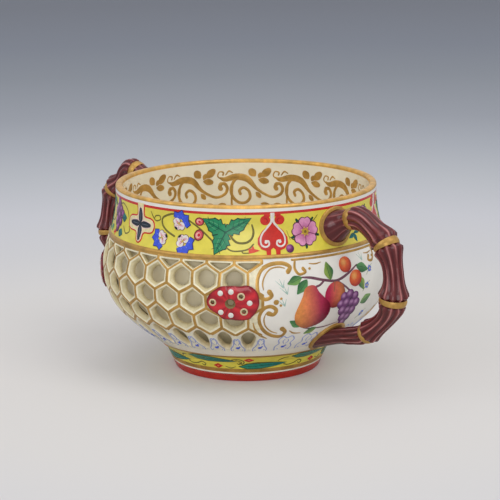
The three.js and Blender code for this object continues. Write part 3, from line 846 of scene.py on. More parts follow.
class CUP_OT_collar_ornament(bpy.types.Operator):
    """Paint the flowers, leaves, hearts and crosses of the yellow collar"""

    bl_idname = "cup.collar_ornament"
    bl_label = "Collar Ornament"

    sheet_radius = 47.5
    motifs = (
        (cross_motif, -2.6, 57.3, 0, 1),
        (blossom, 19.6, 60.1, -35, 1),
        (blossom, 10.2, 53.9, 112, 0.95),
        (blossom, 21.8, 53.2, -140, 1),
        (bud, 28.4, 60.7, 0, 1, 1.45),
        (bud, 28.2, 56.2, 60, 1, 1.75),
        (toothed_leaf, 39.5, 57.5, 0, 1, (-7.9, 4.2, 3), (8.6, 4.6, 2.7), (-3.6, -7.2, 3.2)),
        (orange_bud, 50.9, 51.6, 0, 1),
        (heart_motif, 58.9, 56.9, 0, 1),
        (heart_motif, 121.1, 56.9, 0, 1),
        (rose, 73, 56.8, 0, 1),
        (ball, 65.8, 51.7, 0, 1, 1.4),
        (plain_leaf, 99, 53.6, 10, 1, 4.4, 0.75),
        (plain_leaf, 99.4, 53.4, 200, 1, 3.6, 0.75),
        (plain_leaf, 99, 53.4, -75, 1, 3, 0.75),
        (rose, 107.6, 57.6, 12, 0.86),
        (ball, 113.4, 51.8, 0, 1, 1.4),
        (toothed_leaf, 138, 57, 8, 1, (-7.9, 3.8, 3), (7.8, 4.8, 2.7), (3.4, -7, 3.1)),
        (bud, 129.6, 61, 0, 1, 1.35),
        (grapes, 157, 57.2, 0, 1.3),
        (plain_leaf, 161.4, 57.2, 8, 1, 3.6, 1.5, TEAL, DARK_TEAL, 2),
        (plain_leaf, 159.6, 52.4, -12, 1, 3.6, 1.4, TEAL, DARK_TEAL, 2),
        (plain_leaf, 151.6, 60.4, 150, 1, 4.2, 1.3, GREEN, DARK_GREEN, 2),
        (plain_leaf, 150.8, 52.6, 200, 1, 4, 1.2, LIGHT_GREEN, GREEN, 2),
        (orange_bud, 154.6, 51.4, 200, 0.8),
    )
    tendrils = (
        (0.6, (23.1, 61.1), (28.6, 58.3), (34, 54.6)),
        (0.45, (3.9, 62.4, 0.4), (5, 60.8), (6.9, 59.4), (9.3, 60), (9, 61.2), (6.9, 61.1), (5.9, 60.1, 0.6)),
        (0.7, (17.4, 62.6), (15, 62.4), (10.9, 60.9), (10.6, 58.6), (13, 56.6), (17, 55.1)),
        (0.75, (41.5, 56.6), (42.6, 55.2), (44.6, 54.1), (47.9, 54.1), (50.2, 55.4), (51, 57.6),
         (50.4, 60, 0.7)),
        (0.5, (39.8, 52.6), (41.8, 51.6), (44.6, 51.4), (48.7, 52), (50.9, 53.6)),
        (0.4, (46.2, 51.4), (46.8, 50.8), (49, 50.8)),
        (0.4, (68.3, 60.2, 0.4), (69.4, 59.2)),
        (0.4, (65.9, 55.6, 0.4), (67.4, 54.6), (68.4, 54.5, 0.5)),
        (0.3, (64.9, 57.6, 0.5), (66.2, 54.5, 0.5)),
        (0.4, (77, 60), (79.2, 61.9, 0.5)),
        (0.4, (100.5, 60.6, 0.5), (102.4, 62), (104, 61.2)),
        (0.6, (128.4, 60.4, 0.6), (131, 57.4), (134.4, 56), (137.5, 56.6)),
        (0.45, (129.8, 51.4, 0.6), (132, 53.6), (131, 55.4), (129.2, 54.4), (130.6, 53)),
        (0.6, (141, 55.6), (145.6, 54.2), (149.4, 55), (151.6, 57.4)),
        (0.45, (158.6, 61.6), (162, 62.3), (166.2, 60.6), (167.6, 58.4, 0.6)),
        (0.45, (163.6, 54.6, 0.6), (166.6, 52.6), (169.6, 53.6), (168.8, 55.2, 0.6)),
    )

    def execute(self, context):
        art = Painting(Skin(), self.sheet_radius)
        for turn in (0, 180):
            for motif, x, z, angle, size, *more in self.motifs:
                motif(art, art.at(turn + x, z, angle, size), *more)
            art.strokes(self.tendrils, OLIVE, turn)
        art.finish("collar_ornament")
        return {"FINISHED"}


class CUP_OT_vine(bpy.types.Operator):
    """Gild the vine scroll inside the rim"""

    bl_idname = "cup.vine"
    bl_label = "Gilt Vine"

    sheet_radius = 43.7
    repeats = 13
    first = 102.6
    stems = (
        (2.5, (-11.2, 59.5, 0.3), (-8.6, 58.9, 0.75), (-3.3, 59.8), (2.2, 58.9), (7.3, 54.9, 0.5),
         (14, 52.2, 0.42), (18.6, 53.2, 0.45), (20, 55.4, 0.5), (18.6, 57.3, 0.5), (16.4, 57, 0.5)),
        (1.15, (-1.2, 53.2), (-1.6, 54.6), (0.4, 55.6), (2.9, 54.3), (3.6, 51.9), (1.6, 50), (-1.8, 49.9),
         (-4.8, 51.9), (-5.9, 55), (-4.6, 57.8), (-2.6, 59.3, 0.8)),
        (1.5, (16.9, 57.2), (16.2, 56), (16.7, 55.4, 1.2)),
        (0.7, (-10.6, 59, 0.7), (-12.4, 60.2, 0.8), (-11.6, 61.8, 0.7), (-9.6, 61.6, 0.9), (-9.8, 60.6, 0.9)),
        (0.7, (-8.4, 60.6, 0.6), (-6.8, 62), (-5, 61.4, 0.6)),
        (0.9, (-4.9, 58, 0.8), (-5.6, 50, 0.9), (-4.6, 47.9, 1.3)),
    )
    leaves = (
        (5, 61.2, 1.5, 1.35, 130), (11.4, 61.2, 2, 1.3, 40), (8.6, 60.2, 1, 0.8, 60),
        (10.2, 58.3, 1.7, 1.1, -10), (7.6, 52.9, 1.2, 0.8, -50), (11, 49.2, 1.5, 0.75, -12),
        (16.8, 49.1, 1.5, 0.75, 6),
    )

    def execute(self, context):
        art = Painting(Inside(), self.sheet_radius)
        dashes = [(0.6, (x, 48.7, 0.8), (x + 0.3, 47.9, 0.6)) for x in (-2.6, -1, 0.6, 2.2)]
        for number in range(self.repeats):
            turn = self.first + number * 360 / self.repeats
            art.strokes([*self.stems, *dashes], GOLD, turn)
            for x, z, wide, high, angle in self.leaves:
                spot = art.at(turn + x, z, angle) @ Matrix.Translation((-1.1 * wide, 0, 0))
                art.shape(petal(2.4 * wide, 1.1 * high), GOLD, 1, spot)
        art.finish("vine_scroll")
        return {"FINISHED"}


class CUP_OT_reserve_frames(bpy.types.Operator):
    """Gild the scrolled frames of the two white reserves"""

    bl_idname = "cup.reserve_frames"
    bl_label = "Reserve Frames"

    sheet_radius = 50
    ivory = (232, 222, 186)
    upper_scroll = [(52.8, 36.8), (51.9, 39.6), (52.2, 42.9), (53.6, 45.4)]
    lower_scroll = [(53.6, 25.8), (52.8, 28), (53, 30.4), (54.2, 32.2)]
    scrolls = (
        (1.35, (64, 44.4, 1.2), (64.9, 45.9), (62.1, 47.2), (57.6, 47.1), (53.9, 45.6), (52.2, 42.9),
         (51.9, 39.6), (52.8, 36.8), (55.1, 35.6), (57.3, 36.6), (56.5, 38.1, 1.3)),
        (0.5, (62.8, 45.6, 0.6), (60.4, 46.1), (57.2, 45.6), (55, 43.6), (54, 41), (54.3, 38.9, 0.6)),
        (1.35, (56.3, 30.5, 1.3), (58.2, 30), (59.2, 31.6), (57.2, 33), (54.5, 32.4), (52.7, 29.7),
         (53.1, 26.3), (55.5, 23.2), (59, 21.3), (62.8, 20.9), (64.1, 22.7), (62.4, 24.2, 1.3)),
        (0.5, (55.2, 30.4, 0.6), (54.6, 28.2), (55.4, 25.6), (57.8, 23.4), (60.6, 22.4, 0.6)),
        (0.95, (50.4, 27, 0.5), (51.2, 24.5), (53.6, 21.7), (56.6, 20.2, 0.4)),
        (0.5, (73, 46.4, 0.6), (75.6, 46.1), (78.2, 46.4, 0.5)),
        (0.6, (66, 23, 0.6), (68.2, 21.8), (71.4, 21.6, 0.5)),
    )
    hook = (0.95, (67.1, 47.6, 0.8), (66.8, 45.2), (68.4, 43.3), (71, 43.8), (70.2, 45, 1.3))
    hook_shift = 5
    cap_reach = 24
    cap_height = 48.05
    cap_width = 0.75
    cap_points = 30
    bar_gap = 0.7
    bar_end = 17
    overlap = 0.2
    corner_lap = (1.5, 1.2)
    dots = ((59.1, 34.4, 0.9, 12), (61, 35.6, 0.45, 8), (60.9, 33.2, 0.45, 8), (72.9, 44.8, 0.45, 8))

    def execute(self, context):
        c, s = comb(), cup()
        art = Painting(Skin(), self.sheet_radius)
        bar = [(math.degrees(x / s.belly_radius), y / MM) for x, y in reserve_edge(s.belly_radius)]
        bar = [(x, min(y, s.seat_height / MM - self.bar_gap)) for x, y in bar if y > self.bar_end]
        for middle in (90, 270):
            for way in (-1, 1):
                start = middle - 90 * way
                self.ground(art, start, way)
                art.strokes(self.scrolls, GOLD, start, way)
                art.strokes([self.hook], GOLD, start if way > 0 else start - self.hook_shift, way)
                for x, z, size, steps in self.dots:
                    art.dot(0, 0, size, size, GOLD, 1, art.at(start + way * x, z), steps)
                edge = [(middle + way * x, z) for x, z in bar]
                art.line(edge, c.bar / MM, GOLD, 1, art.round, smooth=False)
            shares = np.linspace(-1, 1, self.cap_points)
            cap = [(middle + share * self.cap_reach, self.cap_height) for share in shares]
            art.line(cap, self.cap_width, GOLD, 0, art.round, smooth=False)
        art.finish("reserve_frames")
        return {"FINISHED"}

    def ground(self, art, start, way):
        """Ivory ground between the honeycomb and the scrolls."""
        c = comb()
        web = c.web / MM / 2
        heights = [row_height(row) / MM for row in range(5)]
        near = math.degrees((c.side_cells + 0.5) * c.pitch) + self.overlap
        far = near + math.degrees(c.pitch) / 2
        for row, scroll in ((1, self.upper_scroll), (3, self.lower_scroll)):
            edge = [(far, heights[row - 1] - web), (near, heights[row] + web), (near, heights[row] - web)]
            corner = (far - self.corner_lap[0], heights[row + 1] + web + self.corner_lap[1])
            outline = [*edge, corner, *scroll]
            art.shape([(start + way * x, z) for x, z in outline], self.ivory, 0, art.round)


class CUP_OT_fruit(bpy.types.Operator):
    """Paint a spray of fruit in each white reserve"""

    bl_idname = "cup.fruit"
    bl_label = "Fruit Painting"

    sheet_radius = 50
    middle = 80.5
    heart = 33.8
    grow = 1.14
    vein = (52, 104, 62)
    greens = (LIGHT_GREEN, (92, 150, 88), (150, 176, 84))
    twigs = (
        (0.8, (-10.2, 41.2, 0.5), (-6.5, 40.8), (-1.5, 39.6), (3.5, 38.9), (8.5, 40.2), (13.5, 42.2, 0.5)),
        (0.7, (-1.5, 39.6), (-3.2, 38.4), (-4.6, 38)),
        (0.6, (3.5, 38.9), (7.5, 36.4), (9.8, 34.6)),
        (0.5, (8.5, 40.2), (9.4, 41.6)),
        (0.45, (-12, 27.6, 0.5), (-7, 24.8), (0.5, 24.2), (7, 25, 0.5)),
    )
    leaves = (
        (-9.8, 41.2, 200, 4.8, 1.4), (-8, 40.4, 232, 5.2, 1.5), (1, 39.4, 100, 5.4, 1.6),
        (2.6, 38.8, 262, 4.4, 1.3), (13.2, 41.9, -20, 5.6, 1.5), (14, 38.6, -62, 5, 1.4),
        (16.2, 30, 20, 5.2, 1.5), (-9, 25.6, 150, 4.6, 1.2), (-2, 24.4, 205, 4.2, 1.1),
    )
    grapes = (
        (7, 33.4), (9.6, 33.8), (12.3, 33), (5.9, 31.2), (8.4, 31.3), (11, 31), (13.4, 30.7),
        (7.2, 29), (9.8, 28.7), (12.2, 28.4), (8.6, 26.6), (10.9, 26.3), (9.8, 24.5),
    )
    pear = [
        (0, -6.4), (3.6, -5.6), (5.6, -3), (5.6, -0.2), (4, 2.4), (2.6, 4.6), (1.9, 6.6), (0.3, 7.3),
        (-1.5, 6.8), (-2.6, 4.8), (-4.2, 2.4), (-5.8, -0.4), (-5.7, -3.2), (-3.6, -5.7),
    ]

    def execute(self, context):
        art = Painting(Skin(), self.sheet_radius)
        for turn in (0, 180):
            self.spray(art, turn + self.middle)
        art.finish("fruit_painting")
        return {"FINISHED"}

    def spray(self, art, middle):
        """Pear, grapes and three other fruits on a bent twig, round the middle of the spray."""
        def spread(x, z, *rest):
            return (middle + x * self.grow, self.heart + (z - self.heart) * self.grow, *rest)

        def twig(width, points, tone=BRANCH):
            art.line([spread(*point) for point in points], width * self.grow, tone, 0, art.round)

        def at(x, z, angle=0):
            return art.at(*spread(x, z), angle, self.grow)

        for width, *points in self.twigs:
            twig(width, points)
        for number, (x, z, angle, reach, half_width) in enumerate(self.leaves):
            plain_leaf(art, at(x, z, angle), reach, half_width, self.greens[number % 3], self.vein)
        spot = at(-5.6, 31.4, 12)
        blush = side_shade((230, 158, 82), (178, 44, 88), -4.4, 2.6)
        pear_paint = product(1.25, blush, ball_shade(*PEAR_SHADE, 5.8, 7.4))
        art.shape(smooth_loop(self.pear), pear_paint, 2, spot, grid=0.9)
        art.line([(-0.4, -6.3, 0.4), (0.5, -6, 0.8)], 0.6, STALK, 3, spot)
        for number, (x, z) in enumerate(self.grapes):
            ball(art, at(x, z), 1.5 + 0.12 * math.sin(2.1 * number), GRAPE, 3 + number * 0.3, 0.8)
        cheek = side_shade((186, 48, 92), (228, 142, 74), -2.4, 2.8)
        peach_paint = product(1.2, cheek, ball_shade(*PEACH_SHADE, 3.7, 4.1))
        art.dot(0, 0, 3.7, 4.1, peach_paint, 1.2, at(2.9, 34.6), 22, grid=0.9)
        for x, z, size in ((8, 43, 2.3), (12.2, 38.4, 2.5)):
            ball(art, at(x, z), size, APRICOT, 4, 0.8, 1.05, 18)
        for x, z in ((-16.4, 38.6), (-15, 36.6), (-15.8, 33), (17, 43)):
            for lean in (-2.6, -1.2, 0.4):
                twig(0.3, [(x, z), (x + lean, z + 2.6 - 0.3 * abs(lean + 1), 0.3)], (168, 200, 186))
        for number, (x, z) in enumerate(((18.4, 35.2), (20.4, 40), (20.4, 25.8))):
            twig(0.28, [(x - 2.2, z - 1.6, 0.4), (x - 0.4, z), (x + 1.8, z + 1.2, 0.4)], (134, 150, 110))
            for px, py in arc((0, 0), 0.62, number * 20, number * 20 + 288, 4):
                art.dot(px, py, 0.42, 0.42, FORGET_ME_NOT, 1, at(x, z))
            art.dot(0, 0, 0.32, 0.32, GOLDEN, 2, at(x, z))


class CUP_OT_blue_border(bpy.types.Operator):
    """Paint the fine blue border of scallops and dots over the lower bowl"""

    bl_idname = "cup.blue_border"
    bl_label = "Blue Border"

    sheet_radius = 40
    ink = (158, 170, 216)
    dot = (72, 98, 208)
    narrow = [(2.4, 14), (2.5, 15), (1.7, 16.2), (1.1, 17.6), (1, 19), (0.4, 20), (0, 19.4)]
    wide = [(2.7, 13.9), (3, 15.7), (2, 17.2), (2.6, 19), (1.4, 20.6), (0, 19.8)]
    reserve_start = 54.4
    reserve_pitch = 11.87

    def execute(self, context):
        art = Painting(Skin(), self.sheet_radius)
        pitch = math.degrees(comb().pitch)
        for turn in (0, 180):
            for number in range(-4, 5):
                self.unit(art, turn + number * pitch, self.narrow)
            for number in range(7):
                half = self.narrow if number in (0, 6) else self.wide
                self.unit(art, turn + self.reserve_start + number * self.reserve_pitch, half)
        art.finish("blue_border")
        return {"FINISHED"}

    def unit(self, art, turn, half):
        """Scallop with its dots and two small tendrils."""
        spot = art.at(turn, 0)
        art.line(both_sides(half), 0.42, self.ink, 0, spot, steps=4)
        art.dot(0, 15.5, 0.75, 0.5, self.dot, 0, spot, 10)
        art.dot(0.7, 16.1, 0.35, 0.28, self.dot, 0, spot)
        for side in (-1, 1):
            tendril = [(0.3 * side, 17, 0.5), (0.9 * side, 18.2), (0.5 * side, 19.2, 0.5)]
            art.line(tendril, 0.36, self.ink, 0, spot)
            art.dot(1.7 * side, 14.5, 0.28, 0.22, self.ink, 0, spot, 6)


class CUP_OT_foot_ornament(bpy.types.Operator):
    """Paint the leaves, tendrils and lozenges of the yellow foot band"""

    bl_idname = "cup.foot_ornament"
    bl_label = "Foot Ornament"

    sheet_radius = 28.5
    repeats = 5
    leaf = [(-8.2, 0.1), (-5.4, 0.95), (-1.6, 1.15), (2.4, 0.85), (5.6, 0.5), (8.4, 0)]
    leaf_tone = (74, 82, 36)
    lozenges = ((1.75, 0.95, (202, 48, 36), 1), (0.6, 0.32, (228, 120, 66), 2))
    tendrils = (
        (0.42, (2.4, 6.2), (6, 5.7), (10.6, 6.1), (14.4, 6.9), (17.2, 6.3), (16, 5.5), (14, 6, 0.6)),
        (0.42, (4, 9.2, 0.5), (1.2, 9), (-1.6, 8.4), (-2.4, 7.8, 0.6)),
        (0.42, (37.6, 8.9), (41.4, 9.3), (44.6, 8.7), (45.8, 7.6), (43.8, 7), (42.2, 7.7, 0.6)),
        (0.42, (39.6, 6, 0.5), (36.4, 5.4), (32.6, 6, 0.6)),
        (0.42, (-32, 8.9, 0.5), (-28.2, 7.9), (-29.4, 6.9), (-31.2, 7.3, 0.6)),
    )

    def execute(self, context):
        art = Painting(Skin(), self.sheet_radius)
        for number in range(self.repeats):
            self.repeat(art, number * 360 / self.repeats)
        art.finish("foot_ornament")
        return {"FINISHED"}

    def repeat(self, art, turn):
        """One repeat, with a leaf that rises from the lower edge and one from the upper edge."""
        outline = self.leaf + [(x, -0.85 * y) for x, y in reversed(self.leaf[1:-1])]
        for middle, height, tilt in ((-13, 6.35, 3), (23, 8.75, -3)):
            spot = art.at(turn + middle, height, tilt)
            art.shape([(x * 1.06, y * 1.35) for x, y in outline], self.leaf_tone, 0, spot, grid=1.3)
            art.shape(outline, side_shade(SEA_GREEN, TEAL, -6, 6), 1, spot, grid=1.3)
            art.line([(-7.6, 0.1, 0.5), (-2, 0.1), (4, 0.05), (7.8, 0, 0.4)], 0.3, DARK_GREEN, 2, spot)
            for x in (-5.4, -3.2, -1, 1.4, 3.8):
                art.line([(x, 0.1), (x + 1, 0.6, 0.4)], 0.24, DARK_TEAL, 2, spot)
                art.line([(x + 0.4, 0), (x + 1.4, -0.5, 0.4)], 0.24, DARK_TEAL, 2, spot)
        art.strokes(self.tendrils, OLIVE, turn)
        for x, z in ((27.2, 6.1), (49, 8.9)):
            for wide, high, paint, level in self.lozenges:
                corners = [(-wide, 0), (0, high), (wide, 0), (0, -high)]
                art.shape(corners, paint, level, art.at(turn + x, z))


# Turned pieces

class CUP_OT_inner_cup(bpy.types.Operator):
    """Turn the bowl with its collar, gilt lip and fillet"""

    bl_idname = "cup.inner_cup"
    bl_label = "Inner Cup"

    white, gilt, yellow, red, hidden, cream, lip = range(7)
    red_drop = 3.1 * MM
    white_drop = 2.2 * MM
    lip_drop = 1.1 * MM
    cream_drop = 1.3 * MM
    ring_top = 47 * MM
    ring_low = 46.2 * MM
    foot_wall = 2.5 * MM
    hidden_gap = 0.3 * MM
    bead_start = 0.2 * MM
    bead_rows = 11
    bead_roundness = 0.7
    collar_rows = 24
    bowl_steps = 28
    bowl_fullness = 12 * MM
    foot_reach = 6 * MM
    face_levels = (60 * MM, 54 * MM, 50 * MM, ring_top, ring_low, 42 * MM)

    def execute(self, context):
        f = finishes()
        stack = [glaze("clear_glaze", f.white), gold(), yellow_glaze(), glaze("red_line", f.line_red)]
        # The liner glaze has a faint painted glow that lightens the bowl seen through the openings
        stack += [glaze("liner_glaze", f.liner, 0.35, painted_glow=0.035), glaze("cream_glaze", f.cream)]
        # The lip's gold is a brighter copy of the gilding: a painted highlight
        stack.append(gold("lip_highlight_gilding", 1.4))
        rows = self.outside() + self.inside()
        finish_piece("glazed_inner_cup", spin_profile(rows), stack, ["inner_cup"])
        return {"FINISHED"}

    def bowl(self, radius, floor, shift):
        """Curve of a bowl from its straight wall down to its floor."""
        foot, belly = cup().liner_foot + shift, cup().belly_height
        pulls = (radius, belly - self.bowl_fullness), (foot + self.foot_reach, floor)
        return bezier([(radius, belly), *pulls, (foot, floor)], self.bowl_steps)

    def outside(self):
        """Rows from the middle of the underside to the gilt lip."""
        s, skin = cup(), Skin()
        liner = s.belly_radius - s.outer_wall - s.wall_space
        inner_foot = s.liner_foot - self.foot_wall
        rows = [(0, s.liner_floor), (inner_foot, s.liner_floor)]
        rows += [(inner_foot, CUP_LOW.z), (s.liner_foot, CUP_LOW.z)]
        rows += self.bowl(liner, s.liner_floor, self.hidden_gap)[::-1] + [(liner, s.seat_height)]
        rows = [(*row, self.hidden) for row in rows]
        bead_top = s.seat_height + s.bead_height
        bead_low = s.seat_height - s.bead_lap
        rows.append((*skin.across(s.seat_height), self.gilt))
        for share in np.linspace(0, 1, self.bead_rows)[:-1]:
            swell = math.sin(share * math.pi) ** self.bead_roundness
            off = (1 - share) * self.bead_start + s.bead_proud * swell
            rows.append((*skin.across(bead_low + share * (bead_top - bead_low), off), self.gilt))
        breaks = {bead_top: self.yellow, s.height - self.red_drop: self.red}
        breaks |= {s.height - self.white_drop: self.white, s.height - self.lip_drop: self.lip}
        for height in sorted({*np.linspace(bead_top, s.height - s.lip, self.collar_rows)[:-1], *breaks}):
            kind = breaks[max(start for start in breaks if start <= height)]
            rows.append((*skin.across(height), kind))
        return rows

    def inside(self):
        """Rows over the lip and down the bowl to the middle of its floor."""
        s = cup()
        inner = s.rim_radius - s.collar_wall
        top = s.height - s.lip
        rows = arc((s.rim_radius - s.lip, top), s.lip, 0, 90, 6)
        rows += arc((inner + s.lip, top), s.lip, 90, 180, 6)
        rows = [(*row, self.lip) for row in rows] + [(inner, s.height - self.cream_drop, self.cream)]
        for height in self.face_levels:
            rows.append((inner, height, self.gilt if height == self.ring_top else self.cream))
        liner = s.belly_radius - s.outer_wall - s.wall_space - s.liner_wall
        floor = s.liner_floor + s.floor_wall
        curve = self.bowl(liner, floor, -s.liner_wall / 2)
        return rows + [(*row, self.cream) for row in [*curve, (0, floor)]]


class CUP_OT_foot_ring(bpy.types.Operator):
    """Turn the red foot ring"""

    bl_idname = "cup.foot_ring"
    bl_label = "Foot Ring"

    edge = 0.4 * MM

    def execute(self, context):
        s, skin, edge = cup(), Skin(), self.edge
        inner = skin.radius(s.ring_height) - s.ring_width
        rows = [(inner, s.ring_height), (inner, edge), *arc((inner + edge, edge), edge, 180, 270, 5)[1:]]
        rows += arc((s.foot_radius - edge, edge), edge, 270, 350, 5)
        rows += [skin.across(height) for height in np.linspace(edge, s.ring_height - edge / 2, 6)]
        rows.append(skin.across(s.ring_height, -edge / 2))
        red = glaze("foot_enamel", finishes().red, 0.18, 0.16, 260)
        bm = spin_profile([(*row, 0) for row in rows])
        finish_piece("red_foot_ring", bm, [red], ["foot_ring"])
        return {"FINISHED"}


# Pierced wall

def row_height(row):
    """Height of the centres of a row of cells, with the half cells under the collar as row 0."""
    c = comb()
    return cup().seat_height - c.first_drop - (row - 1) * (c.web + c.slant)


def reserve_edge(radius):
    """Left edge of a reserve on a flat sheet, from its middle, stepped along the honeycomb."""
    c, s = comb(), cup()
    web = c.web / 2
    near = (c.side_cells + 0.5) * c.pitch * radius
    far = near + c.pitch * radius / 2
    rows = [row_height(row) for row in range(5)]
    edge = [(far, s.seat_height), (far, rows[0] - web)]
    for row, x in ((1, near), (2, far), (3, near)):
        edge += [(x, rows[row] + web), (x, rows[row] - web)]
    edge += [(far, rows[4] + web), (far, c.foot_line)]
    return [(x - math.pi / 2 * radius, y) for x, y in edge]


def hand_cut(x, y):
    """How far hand cutting led a place of the flat panel astray, fading towards the panel's edges."""
    c, s = comb(), cup()
    edge = (c.side_cells + 0.5) * c.pitch * s.belly_radius
    fade, top_fade = 8 * MM, 4 * MM
    still = min(1.0, (edge - abs(x)) / fade, (s.seat_height - y) / top_fade, (y - c.foot_line) / fade)
    size = c.wobble * max(0.0, still)
    along = math.sin(310 * x + 190 * y) + 0.5 * math.sin(840 * y - 500 * x)
    upward = math.sin(270 * y - 230 * x + 1.3) + 0.5 * math.sin(760 * x + 0.4)
    return size * along, size * upward


class CUP_OT_honeycomb(bpy.types.Operator):
    """Build the two pierced honeycomb panels"""

    bl_idname = "cup.honeycomb"
    bl_label = "Honeycomb Panels"

    half_row, rosette_row, arch_row = 0, 2, 4
    # Painted light on the lips and at the mouths of the arches; painted shade that darkens the funnels, the
    # arches' tunnels and the back of the wall
    bright = (240, 232, 200)
    funnel_painted_shade = (220, 206, 162)
    deep_painted_shade = (200, 184, 140)
    petal = (236, 230, 208)
    arch_painted_light = (242, 230, 198)
    shadow = (216, 198, 154)
    half_opening = [(-2.6, -2.2), (-2.2, -2.9), (0, -4.1), (2.2, -2.9), (2.6, -2.2)]
    arch_opening = [(-1.3, -4.3), (1.1, -4.5), (2.5, 0.9), (0, 3.5), (-2.5, 0.9)]
    half_middle = -2.9 * MM
    arch_middle = -0.2 * MM
    bar_foot = 0.03 * MM
    petal_gap = 0.1 * MM
    petal_rim = 1.12
    arch_rise = -0.25 * MM
    arch_depth = -1.5 * MM
    arch_taper = 0.94
    lip_gap = 0.06 * MM
    lip_levels = (-0.04 * MM, -0.14 * MM)
    funnel_steps = ((0.14, -0.34 * MM, funnel_painted_shade), (0.6, -0.9 * MM, funnel_painted_shade), (1, -1.55 * MM, deep_painted_shade))
    weld = 2e-6

    def execute(self, context):
        panel = self.panel()
        whole = painted_mesh()
        for turn in (0, math.pi):
            copy = panel.copy()
            wrap(copy, Skin(), cup().belly_radius, turn)
            join(whole, copy)
        panel.free()
        stack = [drawn_glaze("pierced_glaze", 0.3, 1.02, 260), gold()]
        finish_piece("honeycomb_panels", whole, stack, ["pierced_outer_wall"], sharp=38)
        return {"FINISHED"}

    def cell(self, row):
        """Corners, opening and middle of the cells of a row, round the row's centre."""
        c, s = comb(), cup()
        side, web = c.pitch * s.belly_radius / 2, c.web / 2
        peak = web + c.slant
        height = row_height(row)
        stretch = s.belly_radius / Skin().radius(height)
        lower, upper = [(-side, -web), (0, -peak), (side, -web)], [(side, web), (0, peak), (-side, web)]
        if row == self.half_row:
            top = s.seat_height - height
            corners = [(-side, top), *lower, (side, top)]
            places, middle = self.half_opening, self.half_middle
        elif row == self.arch_row:
            foot = c.foot_line - height
            corners = [(-side, foot), (side, foot), *upper]
            places, middle = self.arch_opening, self.arch_middle
        else:
            outer = straight_loop(lower + upper, c.side_points)
            angles = [math.atan2(y, x / stretch) for x, y in outer]
            opening = [(c.opening * math.cos(a) * stretch, c.opening * math.sin(a)) for a in angles]
            return outer, opening, (0, 0)
        opening = smooth_loop([(x * MM * stretch, y * MM) for x, y in places], c.side_points)
        return straight_loop(corners, c.side_points), opening, (0, middle)

    def cell_mesh(self, row):
        """One cell as a flat sheet: bars, lip, funnel and the back of the wall, with painted light on the lip
        and painted shade that darkens with depth.
        """
        c, s = comb(), cup()
        outer, opening, middle = (np.array(part) for part in self.cell(row))
        width = c.pitch * Skin().radius(row_height(row))
        bar = c.bar / 2

        def inset(distance):
            loop = middle + (outer - middle) * (1 - 2 * distance / width)
            if row == self.half_row:
                ceiling = s.seat_height - c.top_bar - row_height(row) - distance + bar
                loop[:, 1] = np.minimum(loop[:, 1], ceiling)
            return loop

        steps = [(outer, c.bar_crown, self.bright), (inset(bar), self.bar_foot, self.bright)]
        if row == self.arch_row:
            shares = (self.petal_rim, self.arch_taper)
            rim, back = (middle + (opening - middle) * share for share in shares)
            steps += [(inset(bar + self.petal_gap), 0, self.petal), (rim, 0, self.petal)]
            steps += [(opening, self.arch_rise, self.arch_painted_light), (back, self.arch_depth, self.shadow)]
        else:
            lip, back = inset(bar + c.lip), opening
            for loop, level in zip((inset(bar + self.lip_gap), lip), self.lip_levels):
                steps.append((loop, level, self.bright))
            for share, level, shown in self.funnel_steps:
                steps.append((lip * (1 - share) + opening * share, level, shown))
        steps += [(back, -s.outer_wall, self.deep_painted_shade), (outer, -s.outer_wall, self.deep_painted_shade)]
        bm = painted_mesh()
        crest = 0.8 * c.web / 2 if row == self.arch_row else -1
        loops = [[(x, y, level) for x, y in loop] for loop, level, shown in steps]
        tones = [linear(shown) for loop, level, shown in steps]
        loft(bm, loops, lambda ring, spot: int(ring == 0 and spot.y > crest), tones)
        if row == self.arch_row:
            low = [vert for vert in bm.verts if vert.co.z > 0 and vert.co.y < crest]
            paint_points(bm, low, linear(self.petal))
            for vert in low:
                vert.co.z = 0
        return bm

    def panel(self):
        """One panel as a flat sheet, with a plate in the place of two cells under each rosette."""
        c, s = comb(), cup()
        panel = painted_mesh()
        for row in range(self.arch_row + 1):
            side = c.side_cells + (0.5 if row % 2 == 0 else 0) - (2 if row == self.rosette_row else 0)
            for number in range(int(2 * side) + 1):
                cell = self.cell_mesh(row)
                shift = (number - side) * c.pitch * s.belly_radius
                bmesh.ops.translate(cell, verts=cell.verts[:], vec=(shift, row_height(row), 0))
                join(panel, cell)
        for way in (-1, 1):
            join(panel, self.rosette_plate(way))
        bmesh.ops.remove_doubles(panel, verts=panel.verts[:], dist=self.weld)
        border = [edge for edge in panel.edges if edge.is_boundary and edge.verts[0].co.z > -s.outer_wall / 2]
        for vert in only_verts(bmesh.ops.extrude_edge_only(panel, edges=border)["geom"]):
            vert.co.z = -s.outer_wall
        bmesh.ops.remove_doubles(panel, verts=panel.verts[:], dist=self.weld)
        for vert in panel.verts:
            along, upward = hand_cut(vert.co.x, vert.co.y)
            vert.co.x += along
            vert.co.y += upward
        bmesh.ops.recalc_face_normals(panel, faces=panel.faces[:])
        return panel

